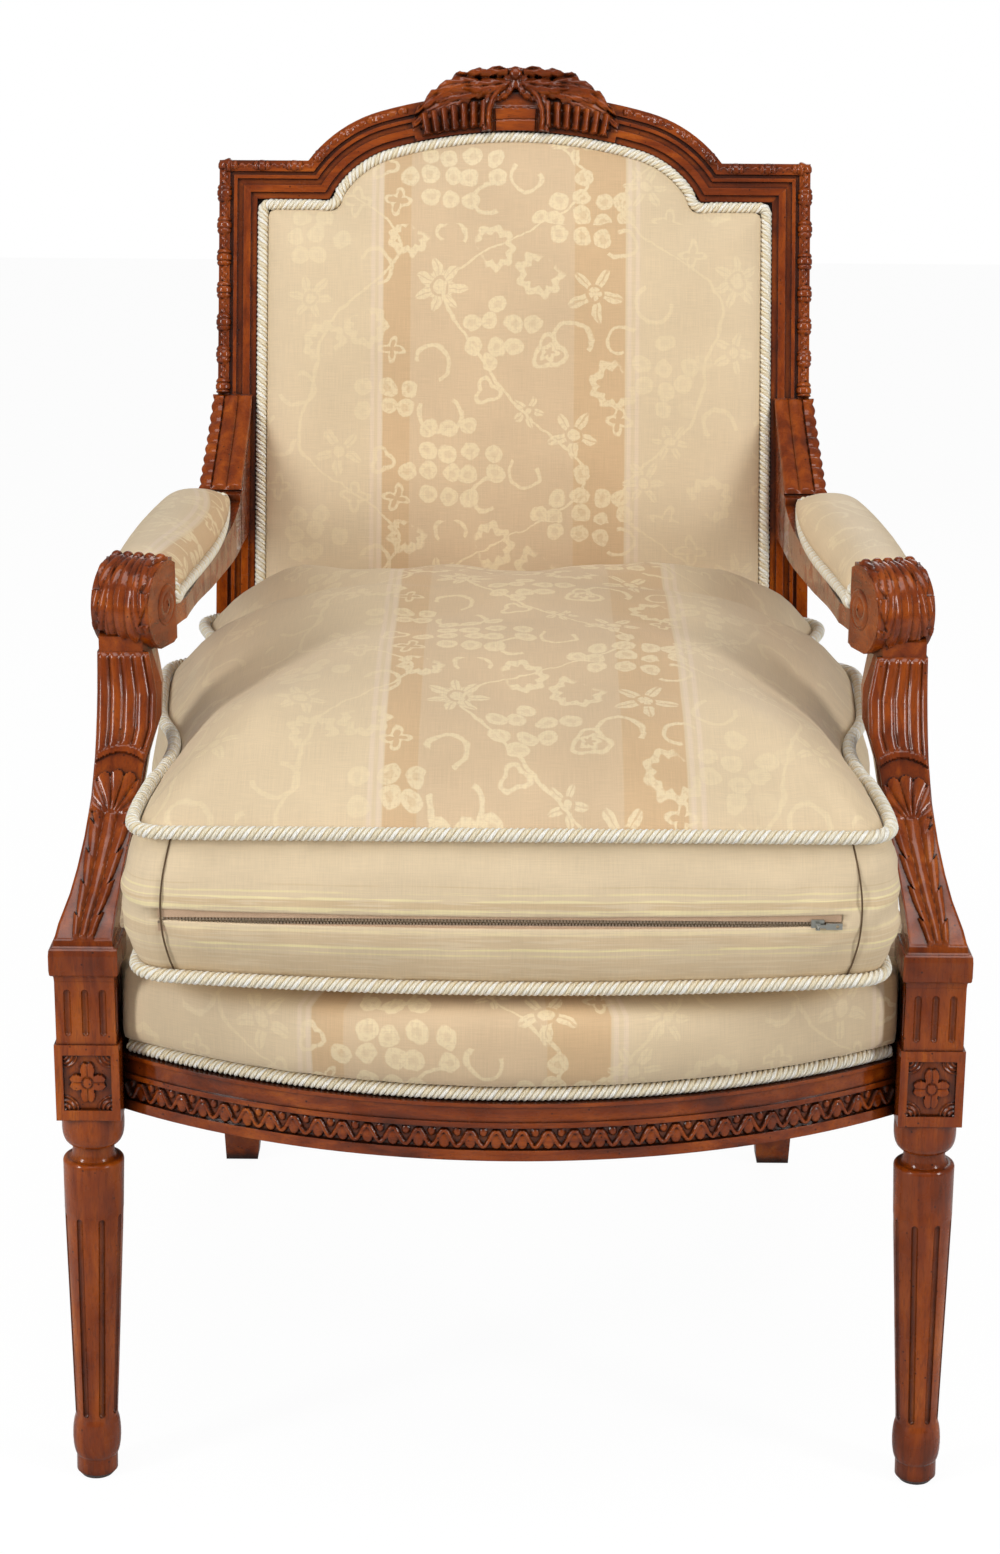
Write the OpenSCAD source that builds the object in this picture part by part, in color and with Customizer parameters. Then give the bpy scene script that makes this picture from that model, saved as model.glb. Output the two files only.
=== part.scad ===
// Upholstered open armchair in the Louis XVI manner, with a loose seat cushion.
// Millimetres, +Z up, the sitter faces -Y, and the left side is -X.

/* [Stance] */
// Distance between the axes of the two front legs
leg_span = 614; // [560:1:680]
// Width of the back over its two posts
back_w = 523; // [480:1:560]
// Depth from the front leg axis to the face of the back posts at seat height
seat_depth = 486; // [440:1:540]
// Height of the top of the front posts, where the arm supports stand
seat_h = 438; // [425:1:455]
// Lean of the back from upright, in degrees
rake = 16.5; // [10:0.5:20]
// Height of the back's square shoulders above the seat, up the slope
back_h = 521; // [460:1:600]
// How far the rear feet stand behind the post faces at seat height
rear_reach_len = 114; // [60:1:140]

/* [Back frame] */
// Width of the moulded face of the back frame
face_w = 33.5; // [30:0.5:40]
// Thickness of the back frame
frame_t = 34; // [30:1:42]
// Width of the rebate that the back upholstery lies on
rebate_w = 16; // [13:1:20]
// Depth of that rebate below the moulded face
rebate_d = 8; // [6:0.5:10]
// Half the distance between the two kinks where the arch begins
arch_half_w = 183; // [165:1:195]
// Rise of the arch above the square shoulders
arch_rise = 61; // [50:0.5:72]
// Radius of the arch at its two flanks
flank_r = 121.5; // [105:0.5:135]
// Turn of the arch, from its middle to where a flank begins, in degrees
arch_turn = 16; // [12:0.5:20]
// Height of the bottom rail of the back
back_rail_h = 46; // [36:1:60]
// Height of the crest carving above the arch
carving_h = 23; // [12:1:32]
// Half the width of the crest carving
carving_half_w = 96; // [70:1:120]

/* [Seat frame] */
// Height of the show wood of the rails
rail_show_h = 43.5; // [36:0.5:50]
// Height of the part of the rails that the cover is tacked to
rail_tack_h = 29; // [22:1:36]
// Thickness of the rails
rail_t = 28; // [24:1:34]
// Width of the ledge on the rails that the cord lies on
ledge_w = 12; // [11:0.5:14]
// How far the front rail bows forward of its ends
bow_depth = 90; // [40:1:110]

/* [Front legs] */
// Width of the square block at the top of the leg
block_w = 47; // [42:1:56]
// Height of the square block
block_h = 59; // [50:1:64]
// Height of the fluted part above the block
frieze_h = 48.5; // [36:0.5:60]
// Width of the fluted part above the block
frieze_w = 43.5; // [38:0.5:46]
// Height of the moulded cap on the post
cap_h = 31; // [24:1:36]
// Width over the lip of the cap
cap_w = 50; // [48:1:58]
// Diameter of the leg at its shoulder
leg_d = 45; // [40:1:50]
// Diameter of the leg just above the ankle
ankle_d = 32; // [26:1:36]
// Diameter of the foot
foot_d = 31; // [26:1:34]
// How far the turned legs lean outward, in degrees
leg_splay = 1.2; // [0:0.1:2]
// Width of a flute in the leg
flute_w = 5; // [4:0.5:7]

/* [Arms] */
// Height of the arm supports, from the front posts up
arm_rise = 186; // [172:1:202]
// Radius of the scroll at the front of the arm
scroll_r = 33; // [28:1:38]
// Distance of the scroll's centre behind the front leg axis
scroll_back = 118; // [100:1:140]
// Width of the arm under its pad
arm_w = 62; // [54:1:70]
// Width of the arm at the scroll
scroll_w = 46; // [38:1:50]
// Height of the arm pad above the wood
pad_h = 40; // [28:1:46]
// Height of the arm's upsweep above the top of its support
wing_rise = 114; // [91:1:136]

/* [Upholstery] */
// Diameter of the twisted cords
cord_d = 10; // [8:0.5:11]
// Height of the sprung top of the fixed seat above the rail
fixed_seat_h = 46; // [36:1:56]
// Height of the loose cushion's boxing, from seam to seam
boxing_h = 112; // [80:1:130]
// Crown of the loose cushion above its top seam
crown_h = 73; // [50:1:80]
// Room from the axis of each front leg to the loose cushion's side
cushion_room = 37; // [36:0.5:60]
// How far the loose cushion stands out before the axes of the front legs
cushion_over = 70; // [50:1:76]

/* [Zip] */
// Distance from the sides of the loose cushion to the ends of the zip
zip_margin = 33; // [27:0.5:70]
// Width of the zip's chain
chain_w = 4.4; // [3:0.1:6]
// Length of the zip's slider
slider_len = 9; // [7:0.5:12]
// Length of the pull tab
pull_len = 17; // [12:0.5:24]

/* [Hidden] */
$fn = 64;

// Clearances and overruns
fit = 0.3;            // between soft pieces and what they lie on
glue = 0.05;          // round a dowel or a screw
over = 60;            // overrun of cuts
far = 900;            // longer than any piece

// Colours
walnut = [0.48, 0.21, 0.09];
beech = [0.78, 0.62, 0.42];
damask = [0.88, 0.78, 0.63];
rope = [0.90, 0.86, 0.76];
jute = [0.62, 0.50, 0.33];
hair = [0.35, 0.27, 0.18];
steel = [0.62, 0.62, 0.60];

// Heights that follow from the driving sizes
cap_base = seat_h - cap_h;
block_top = cap_base - frieze_h;
rail_base = block_top - block_h;
arm_h = seat_h + arm_rise;
wing_top = arm_h + wing_rise;
ledge_z = rail_base + rail_show_h;
rail_top = ledge_z + rail_tack_h;
cord_r = cord_d / 2;

// Front legs and front rail
leg_x = leg_span / 2;
block_in = leg_x - block_w / 2;
bow_r = (block_in * block_in + bow_depth * bow_depth) / (2 * bow_depth);
bow_y = bow_r - bow_depth;

// Back: the posts' faces lie in a plane that leans back by the rake
post_x = back_w / 2;
sight_x = post_x - face_w;
flange_x = sight_x - rebate_w;
// Radius of the arch over its middle, from the flanks' radius and the turn
turn_a = 2 * (1 - cos(arch_turn));
turn_b = arch_half_w * sin(arch_turn) + (arch_rise - flank_r) * turn_a / 2;
turn_c = pow(arch_half_w, 2) + pow(arch_rise - flank_r, 2) - pow(flank_r, 2);
arch_r = flank_r + (turn_b - sqrt(pow(turn_b, 2) - turn_a * turn_c)) / turn_a;
arch_c = back_h + arch_rise - arch_r;
flank_c = [(arch_r - flank_r) * sin(arch_turn), arch_c + (arch_r - flank_r) * cos(arch_turn)];
lean = tan(rake);

// Whole object, for the origin at the middle of its footprint
rear_foot_y = seat_depth + rear_reach_len;
foot_t = 28;
// Cloth over the back from behind, inside its own cord
rear_cloth_t = 2.5;
rear_margin = 12;
rear_cord_d = 6;
rear_top = back_h + arch_rise - rear_margin - rear_cord_d / 2 + fit;
rearmost = seat_depth + rear_top * sin(rake) + (frame_t + rear_cord_d + fit) * cos(rake);
// How far the cover of the fixed seat stands out past the rails
bulge = 4;
foremost = -bow_depth - bulge;
mid_y = (rearmost + foremost) / 2;

// Points on curves, and tubes along routes
function bezier(a, b, c, d, t) =
    a * pow(1 - t, 3) + b * (3 * t * pow(1 - t, 2)) + c * (3 * t * t * (1 - t)) + d * pow(t, 3);
function curve(a, b, c, d, steps) = [for (i = [0 : steps]) bezier(a, b, c, d, i / steps)];
function arc(c, r, from, to, steps) =
    [for (i = [0 : steps]) let (a = from + (to - from) * i / steps) c + r * [cos(a), sin(a)]];
function unit(v) = v / norm(v);
function turned(p) = [-p[1], p[0]];
function mix(a, b, t) = a + (b - a) * t;
function total(list, i = 0) = i == len(list) - 1 ? list[i] : list[i] + total(list, i + 1);
function middle(list) = total(list) / len(list);

// Moves each point of a loop inward, along the middle of its two edges
function inset(loop, d) = let (n = len(loop)) [
    for (i = [0 : n - 1])
        let (a = turned(unit(loop[i] - loop[(i + n - 1) % n])),
             b = turned(unit(loop[(i + 1) % n] - loop[i])))
        loop[i] + (a + b) * d / (1 + a * b)
];

// Tangent of a route at point i
function along(path, i) =
    unit(path[min(i + 1, len(path) - 1)] - path[max(i - 1, 0)]);
// Side vectors carried along a route without twist
function sides_of(path, first) = [
    for (i = 0, u = unit(first - (first * along(path, 0)) * along(path, 0)); i < len(path);
         i = i + 1,
         u = i < len(path) ? unit(u - (u * along(path, i)) * along(path, i)) : u) u
];

// A round cord along a route, with flat ends
module tube(path, r, first, sides = 8) {
    n = len(path);
    us = sides_of(path, first);
    points = [
        for (i = [0 : n - 1], k = [0 : sides - 1])
            let (v = cross(along(path, i), us[i]), a = 360 * k / sides)
            path[i] + r * (cos(a) * us[i] + sin(a) * v)
    ];
    walls = [
        for (i = [0 : n - 2], k = [0 : sides - 1])
            let (a = i * sides + k, b = i * sides + (k + 1) % sides)
            each [[a, a + sides, b + sides], [a, b + sides, b]]
    ];
    ends = [
        [for (k = [0 : sides - 1]) k],
        [for (k = [sides - 1 : -1 : 0]) (n - 1) * sides + k]
    ];
    polyhedron(points, concat(walls, ends), convexity = 6);
}

// A closed soft form through rings of the same number of points, lowest ring first
module rings(list) {
    n = len(list[0]);
    m = len(list);
    walls = [
        for (i = [0 : m - 2], k = [0 : n - 1])
            let (j = (k + 1) % n)
            each [[i * n + k, (i + 1) * n + k, (i + 1) * n + j], [i * n + k, (i + 1) * n + j, i * n + j]]
    ];
    low = [for (k = [0 : n - 1]) [k, (k + 1) % n, m * n]];
    high = [for (k = [0 : n - 1]) [(m - 1) * n + (k + 1) % n, (m - 1) * n + k, m * n + 1]];
    points = concat([for (ring = list) each ring], [middle(list[0]), middle(list[m - 1])]);
    polyhedron(points, concat(walls, low, high), convexity = 6);
}

// Places: the whole chair's origin, and the plane of the back's face
module home() translate([0, -mid_y, 0]) children();
module on_back() translate([0, seat_depth, seat_h]) rotate([-rake, 0, 0]) children();
module right_side() mirror([1, 0, 0]) children();
module both_sides() {
    children();
    right_side() children();
}
// Turns an outline drawn as [depth, height] to stand across the chair
module across(width) rotate([90, 0, 90]) linear_extrude(width, center = true) children();
// Turns an outline drawn as [width, height] to face forward
module facing(depth) rotate([90, 0, 0]) linear_extrude(depth, center = true) children();

// Front legs: block, fluted part and turned leg in one timber
recess_w = 35;
recess_h = 43;
recess_d = 3.5;
cup_h = 14;
neck_d = 30.5;
neck_drop = 26;
shoulder_drop = 40;
band_drop = 78;
neck_z = rail_base - neck_drop;
shoulder_z = rail_base - shoulder_drop;
band_z = rail_base - band_drop;
ankle_z = 50;
ankle_ring_d = 37;
ankle_ring_h = 33;
foot_round = 4;
foot_trim = 1;
flutes = 8;
frieze_flute_w = 5.5;
frieze_flute_margin = 6;
cup_d = block_w;
neck_fillet_h = 3;
joint_h = 1;

function leg_outline() = concat(
    [[0, -foot_trim], [foot_d / 2 - foot_round, -foot_trim], [foot_d / 2, foot_round],
     [foot_d / 2, ankle_z - ankle_ring_h]],
    curve([foot_d / 2, ankle_z - ankle_ring_h], [ankle_ring_d / 2, ankle_z - 0.9 * ankle_ring_h],
          [ankle_ring_d / 2 + (ankle_ring_d - foot_d) / 6, ankle_z - 0.3 * ankle_ring_h],
          [ankle_d / 2, ankle_z], 8),
    [[leg_d / 2 - (leg_d - ankle_d) / 20, band_z], [leg_d / 2, shoulder_z]],
    arc([leg_d / 2 - neck_fillet_h, shoulder_z], neck_fillet_h, 0, 90, 4),
    curve([leg_d / 2 - 1.5 * neck_fillet_h, shoulder_z + neck_fillet_h],
          [neck_d / 2, shoulder_z + neck_fillet_h],
          [neck_d / 2, neck_z - neck_fillet_h], [neck_d / 2, neck_z], 6),
    curve([neck_d / 2 + neck_fillet_h / 2, neck_z], [cup_d / 2, neck_z + neck_fillet_h],
          [cup_d / 2, rail_base - cup_h], [cup_d / 2 - neck_fillet_h / 3, rail_base], 8),
    [[cup_d / 2 - neck_fillet_h / 3, rail_base + joint_h], [0, rail_base + joint_h]]
);

// A groove with round ends along a line; its ends are slightly slimmer than the groove
flute_end = 0.98;
module flute(a, b, r) {
    span = b - a;
    turn = acos(span[2] / norm(span));
    translate(a) sphere(flute_end * r);
    translate(b) sphere(flute_end * r);
    translate(a) rotate([0, turn, atan2(span[1], span[0])]) cylinder(norm(span), r, r);
}

module leg_flutes() {
    r = flute_w / 2;
    low = ankle_z + 2 * r;
    high = band_z - 2 * r;
    for (i = [0 : flutes - 1])
        rotate([0, 0, (i + 0.5) * 360 / flutes])
            flute([mix(ankle_d, leg_d, 0.02) / 2, 0, low], [mix(ankle_d, leg_d, 0.93) / 2, 0, high], r);
}

module frieze_flutes() {
    r = frieze_flute_w / 2;
    low = block_top + frieze_flute_margin + r;
    high = cap_base - frieze_flute_margin - r;
    pitch = frieze_w / 3.4;
    for (side = [0, 90, 180])
        rotate([0, 0, side])
            for (i = [-1 : 1])
                flute([i * pitch, -frieze_w / 2 - r / 3, low], [i * pitch, -frieze_w / 2 - r / 3, high], r);
}

// The turned part leans outward from the underside of the block, and stands flat
module splayed() translate([0, 0, rail_base]) rotate([0, leg_splay, 0])
    translate([0, 0, -rail_base]) children();
module front_leg() color(walnut) home() difference() {
    translate([-leg_x, 0, 0]) difference() {
        union() {
            translate([-block_w / 2, -block_w / 2, rail_base]) cube([block_w, block_w, block_h]);
            translate([-frieze_w / 2, -frieze_w / 2, block_top])
                cube([frieze_w, frieze_w, cap_base - block_top]);
            splayed() rotate_extrude() polygon(leg_outline());
        }
        for (side = [0, -90])
            rotate([0, 0, side])
                translate([-recess_w / 2, -block_w / 2 - over, rail_base + (block_h - recess_h) / 2])
                    cube([recess_w, over + recess_d, recess_h]);
        splayed() leg_flutes();
        frieze_flutes();
        translate([-over / 2, -over / 2, -over]) cube(over);
    }
    seat_dowel_holes();
    block_screw_holes();
}
module front_leg_left() front_leg();
module front_leg_right() right_side() front_leg();

// Cap: a square moulding, the same outline seen from the front and from the side
cap_neck_w = 42;
cap_lip_h = 11;
cap_lip_z = cap_base + 0.3 * cap_h;

function cap_outline() = concat(
    [[-frieze_w / 2, cap_base]],
    curve([-frieze_w / 2, cap_base], [-frieze_w / 2, cap_lip_z], [-cap_w / 2, cap_base + fit],
          [-cap_w / 2, cap_lip_z], 5),
    [[-cap_w / 2, cap_lip_z + cap_lip_h]],
    curve([-cap_w / 2, cap_lip_z + cap_lip_h], [-cap_w / 2, seat_h],
          [-cap_neck_w / 2 - fit, cap_lip_z + cap_lip_h], [-cap_neck_w / 2, seat_h], 5)
);
module cap_half() polygon(concat([[0, cap_base]], cap_outline(), [[0, seat_h]]));
module cap_shape() {
    cap_half();
    mirror([1, 0]) cap_half();
}
module post_cap() color(walnut) home() translate([-leg_x, 0, 0]) intersection() {
    facing(2 * over) cap_shape();
    across(2 * over) cap_shape();
}
module post_cap_left() post_cap();
module post_cap_right() right_side() post_cap();

// Section of the back frame: across from the outer edge, and back from the face
bead_w = 9.7;
groove_w = 3.2;
groove_d = 2.5;
small_reed_w = 3.2;
large_reed_w = 6.4;
sight_step_w = 5.5;
// Each step of the section: where it starts and ends across the face, and how deep it lies
section_steps = [
    [0, bead_w, 0],
    [bead_w + groove_w, bead_w + groove_w + small_reed_w, 0],
    [face_w - sight_step_w - large_reed_w, face_w - sight_step_w, 0],
    [0, face_w, groove_d],
    [0, face_w + rebate_w, rebate_d]
];
module frame_section() for (step = section_steps)
    translate([step[0], step[2]]) square([step[1] - step[0], frame_t - step[2]]);

// Straight length of the frame that runs up the slope on the left, from height a to b
module upright(a, b) translate([-post_x, 0, a]) linear_extrude(b - a) frame_section();

// Front view of the frame: a loop at an even distance u inside its outer edge
arch_steps = 10;
function frame_half(u) = let (
    low = back_h - 3 * over,
    r = flank_r - u,
    turn = acos((back_h - u - flank_c[1]) / r))
    concat(
        [[0, low], [post_x - u, low], [post_x - u, back_h - u]],
        [for (i = [0 : arch_steps]) let (a = mix(turn, arch_turn, i / arch_steps))
            flank_c + r * [sin(a), cos(a)]],
        [for (i = [1 : arch_steps]) let (a = arch_turn * (1 - i / arch_steps))
            [0, arch_c] + (arch_r - u) * [sin(a), cos(a)]]
    );
function mirrored(half) = concat(half, [for (i = [len(half) - 2 : -1 : 1]) [-half[i][0], half[i][1]]]);
// Regions of the front view below and above the corner mitre
module corner_side() polygon([
    [-post_x - over, back_h + over], [-post_x + 2 * over, back_h - 2 * over],
    [-post_x + 2 * over, -far], [-post_x - over, -far]
]);
module above_corners() polygon(mirrored([
    [0, back_h - 2 * over], [post_x - 2 * over, back_h - 2 * over], [post_x + over, back_h + over],
    [post_x + over, far], [0, far]
]));

// Back posts: moulded upper part and sabre leg in one timber
knee_rise = 30;
knee_z = rail_base + knee_rise;
knee_y = seat_depth - (seat_h - knee_z) * lean;
leg_depth = frame_t / cos(rake);
rear_foot_out = 8;
rear_foot_x = post_x + rear_foot_out;
rear_foot_w = 30;
post_in = flange_x;

module back_leg_side() polygon(concat(
    [[seat_depth + lean * over / 2, seat_h + over / 2]],
    curve([knee_y, knee_z], [knee_y - lean * knee_z / 4, 3 * knee_z / 4],
          [mix(knee_y, rear_foot_y, 0.45), knee_z / 3], [rear_foot_y - foot_t / 2, 0], 12),
    curve([rear_foot_y + foot_t / 2, 0], [mix(knee_y, rear_foot_y, 0.45) + leg_depth, knee_z / 3],
          [knee_y + leg_depth, 3 * knee_z / 4], [knee_y + leg_depth, knee_z], 12),
    [[seat_depth + leg_depth + lean * over / 2, seat_h + over / 2]]
));
module back_leg_front() polygon([
    [-post_x, seat_h + over], [-post_x, knee_z], [-rear_foot_x, 0],
    [-rear_foot_x + rear_foot_w, 0], [-post_in - (post_x - post_in - rear_foot_w) / 3, knee_z / 2],
    [-post_in, knee_z], [-post_in, seat_h + over]
]);
module back_post() color(walnut) home() difference() {
    union() {
        on_back() intersection() {
            upright(-joint_h, back_h + over);
            facing(far) corner_side();
        }
        difference() {
            intersection() {
                translate([-post_x, 0, 0]) across(far) back_leg_side();
                facing(4 * far) back_leg_front();
            }
            on_back() translate([-far / 2, -far / 2, 0]) cube(far);
        }
    }
    seat_dowel_holes();
    back_dowel_holes();
    block_screw_holes();
    arm_dowel_holes();
}
module back_post_left() back_post();
module back_post_right() right_side() back_post();

// Crest rail: two square shoulders and the arch, mitred into the posts
module crest_rail() color(walnut) home() difference() {
    on_back() for (step = section_steps)
        translate([0, (frame_t + step[2]) / 2, 0]) facing(frame_t - step[2]) intersection() {
            difference() {
                polygon(mirrored(frame_half(step[0])));
                polygon(mirrored(frame_half(step[1])));
            }
            above_corners();
        }
    back_dowel_holes();
}

// Crest carving: a raised plate over the middle of the arch, with a ribbon loop below it
carving_front = 9;
carving_back = 20;
function carving_half() = let (w = carving_half_w, r = arch_r)
    concat(
        curve([-w, arch_c + sqrt(r * r - w * w) - carving_h / 12], [-0.78 * w, arch_c + r + 0.3 * carving_h],
              [-0.5 * w, arch_c + r + 0.8 * carving_h], [0, arch_c + r + carving_h], 12)
    );
function carving_outline() = let (half = carving_half(), low = arch_r - face_w, n = len(half)) concat(
    arc([0, arch_c], low, 90 - asin(carving_half_w / low), 90 + asin(carving_half_w / low), 16),
    half, [for (i = [n - 2 : -1 : 0]) [-half[i][0], half[i][1]]]
);
module crest_carving() color(walnut) home() on_back() {
    translate([0, -glue - carving_front / 2, 0]) facing(carving_front) polygon(carving_outline());
    difference() {
        translate([0, (carving_back - carving_front) / 2 - glue, 0])
            facing(carving_front + carving_back) polygon(carving_outline());
        translate([0, frame_t / 2 - glue, arch_c]) rotate([90, 0, 0])
            cylinder(frame_t, arch_r + glue, arch_r + glue, center = true, $fn = 256);
    }
}

// Bottom rail of the back, between the posts and hidden by the cushion
back_rail_low = 14;
module back_bottom_rail() color(walnut) home() difference() {
    on_back() translate([-post_in, rebate_d, back_rail_low])
        cube([2 * post_in, frame_t - rebate_d, back_rail_h]);
    back_dowel_holes();
}

// Section of the seat rails: out from the inner face, and up from the underside
band_low = 8;
band_h = 17;
band_d = 3;
rail_bead = 4;
module rail_section() difference() {
    union() {
        square([rail_t, rail_show_h]);
        square([rail_t - ledge_w, rail_show_h + rail_tack_h]);
    }
    translate([rail_t - band_d, band_low]) square([over, band_h]);
    translate([rail_t - band_d / 2, band_low + band_h + rail_bead])
        square([over, rail_show_h - band_low - band_h - 1.75 * rail_bead]);
}

// Front rail, bowed
module front_rail() color(walnut) home() difference() {
    intersection() {
        translate([0, bow_y, rail_base]) rotate_extrude($fn = 256)
            translate([bow_r - rail_t, 0]) rail_section();
        translate([-block_in, -far, 0]) cube([2 * block_in, far + block_w, far]);
    }
    seat_dowel_holes();
    block_screw_holes();
}

// Side rails, from the back of the front block to the face of the back post
reveal = 4;
side_front = [leg_x + block_w / 2 - reveal, block_w / 2];
side_rear = [post_x - reveal, seat_depth - (seat_h - ledge_z) * lean];
side_turn = atan2(side_front[0] - side_rear[0], side_rear[1] - side_front[1]);
module behind_post_face(gap) on_back() translate([-far, -gap, -far]) cube([2 * far, far, 2 * far]);

module side_rail_blank() translate([-side_front[0], side_front[1], rail_base]) rotate([0, 0, -side_turn])
    translate([rail_t, -over, 0]) rotate([90, 0, 180]) linear_extrude(far) rail_section();
module side_rail() color(walnut) home() difference() {
    side_rail_blank();
    translate([-far, -far + block_w / 2, 0]) cube([2 * far, far, far]);
    behind_post_face(0);
    seat_dowel_holes();
    block_screw_holes();
}
module side_rail_left() side_rail();
module side_rail_right() right_side() side_rail();

// Rear rail, between the posts
rear_rail_t = 20;
rear_rail_y = seat_depth - (seat_h - rail_top) * lean + reveal / 4;
module rear_rail() color(walnut) home() difference() {
    translate([-post_in, rear_rail_y, rail_base]) cube([2 * post_in, rear_rail_t, rail_top - rail_base]);
    seat_dowel_holes();
    block_screw_holes();
}

// Corner blocks, glued and screwed into the four inner corners of the seat
corner_block_w = 34;
corner_block_h = 40;
corner_block_rise = 12;
corner_block_z = rail_base + corner_block_rise;
front_block_in = 8;
front_block_y = 62;
front_block_at = [block_in - front_block_in, front_block_y];
front_block_turn = 40;
rear_block_in = 12;
rear_block_fore = 22;
rear_block_at = [post_in - rear_block_in, rear_rail_y - rear_block_fore];
rear_block_turn = -42;
corner_block_len = 150;

module block_bar(at, turn) translate([-at[0], at[1], corner_block_z]) rotate([0, 0, turn])
    translate([-corner_block_len / 2, -corner_block_w / 2, 0])
        cube([corner_block_len, corner_block_w, corner_block_h]);
// All that lies inside the four rails, on the left
module inside_seat() intersection() {
    translate([0, bow_y, 0]) cylinder(far, bow_r - rail_t, bow_r - rail_t, $fn = 256);
    translate([-side_front[0], side_front[1], 0]) rotate([0, 0, -side_turn])
        translate([rail_t, -far, 0]) cube([far, 2 * far, far]);
    translate([-far, -far + rear_rail_y, 0]) cube([2 * far, far, far]);
}
module front_corner_block() difference() {
    intersection() {
        block_bar(front_block_at, front_block_turn);
        inside_seat();
    }
    translate([-leg_x - block_w / 2, -block_w / 2, 0]) cube([block_w, block_w, far]);
    block_screw_holes();
}
module rear_corner_block() difference() {
    intersection() {
        block_bar(rear_block_at, rear_block_turn);
        inside_seat();
    }
    behind_post_face(0);
    block_screw_holes();
}
module front_corner_blocks() color(beech) home() both_sides() front_corner_block();
module rear_corner_blocks() color(beech) home() both_sides() rear_corner_block();

// Screws: through each corner block into the rails beside it
screw_r = 2.2;
screw_head_r = 4.2;
screw_head_h = 3;
screw_len = 38;
screw_z = corner_block_z + corner_block_h / 2;
// Shares of the block's width from a block's middle to each screw's head, inward and back
front_screw_shares = [[1, -0.41], [0.24, 0.94]];
rear_screw_shares = [[0.24, -0.82], [1.06, -0.24]];
front_screw_turns = [262, 180 - side_turn];
rear_screw_turns = [180 - side_turn, 90];
// Each place: the head's point, and the way the screw goes, on the left
function screws_at(block, shares, turns) = [for (i = [0, 1])
    [[-block[0] + shares[i][0] * corner_block_w, block[1] + shares[i][1] * corner_block_w], turns[i]]];
screw_places = concat(screws_at(front_block_at, front_screw_shares, front_screw_turns),
                      screws_at(rear_block_at, rear_screw_shares, rear_screw_turns));
module screw(gap) {
    rotate([0, 90, 0]) cylinder(screw_len, screw_r + gap, screw_r + gap);
    rotate([0, 90, 0]) cylinder(screw_head_h + gap, screw_head_r + gap, screw_head_r + gap);
}
module left_screws(gap) for (place = screw_places)
    translate([place[0][0], place[0][1], screw_z]) rotate([0, 0, place[1]]) screw(gap);
module screw_sinks() for (place = screw_places)
    translate([place[0][0], place[0][1], screw_z]) rotate([0, 0, place[1] + 180])
        translate([-glue, 0, 0]) rotate([0, 90, 0])
            cylinder(over / 2, screw_head_r + glue, screw_head_r + glue);
module block_screw_holes() both_sides() {
    left_screws(glue);
    screw_sinks();
}
module block_screws() color(steel) home() both_sides() left_screws(0);

// Dowels in the joints of the seat frame
dowel_r = 4;
dowel_len = 36;
dowel_rise_shares = [0.21, 0.46];
dowel_zs = [for (share = dowel_rise_shares) mix(rail_base, rail_top, share)];
front_dowel_y = 13;
side_dowel_in = 4;
side_dowel_x = leg_x - side_dowel_in;
rear_dowel_in = 20;
rear_dowel_x = post_x - rear_dowel_in;
module dowel(gap, r = dowel_r, length = dowel_len)
    cylinder(length + 2 * gap, r + gap, r + gap, center = true);
module left_seat_dowels(gap) for (z = dowel_zs) {
    translate([-block_in, front_dowel_y, z]) rotate([0, 90, 0]) dowel(gap);
    translate([-side_dowel_x, block_w / 2, z]) rotate([90, 0, 0]) dowel(gap, length = 0.8 * dowel_len);
    translate([-rear_dowel_x, seat_depth - (seat_h - z) * lean, z]) rotate([90, 0, 0]) dowel(gap);
    translate([-post_in, rear_rail_y + rear_rail_t / 2, z]) rotate([0, 90, 0]) dowel(gap);
}
module seat_dowel_holes() both_sides() left_seat_dowels(glue);
module seat_dowels() color(beech) home() both_sides() left_seat_dowels(0);

// Dowels in the joints of the back frame
back_dowel_y = (frame_t + rebate_d) / 2;
module left_back_dowels(gap) on_back() {
    for (z = [back_rail_low + 0.3 * back_rail_h, back_rail_low + 0.7 * back_rail_h])
        translate([-post_in, back_dowel_y, z]) rotate([0, 90, 0]) dowel(gap);
    for (shift = [0.3, 0.75])
        translate([-post_x + shift * (face_w + rebate_w), back_dowel_y, back_h - shift * (face_w + rebate_w)])
            rotate([0, 45, 0]) dowel(gap);
}
module back_dowel_holes() both_sides() left_back_dowels(glue);
module back_dowels() color(beech) home() both_sides() left_back_dowels(0);

// Arm supports: swept back from the post cap, narrow at the waist and flared at the foot
support_rise = arm_h - seat_h;
support_top_y = [scroll_back - 0.82 * scroll_r, scroll_back + 0.52 * scroll_r];
arm_lip = 2;
function support_side() = concat(
    curve([-cap_neck_w / 2, seat_h], [0.85 * cap_neck_w / 2, seat_h + 0.19 * support_rise],
          [support_top_y[0] - arm_lip, seat_h + 0.52 * support_rise], [support_top_y[0], arm_h], 16),
    curve([support_top_y[1], arm_h], [support_top_y[1] - arm_lip, seat_h + 0.5 * support_rise],
          [1.4 * cap_neck_w, seat_h + 0.22 * support_rise], [cap_neck_w / 2, seat_h], 16)
);
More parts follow.
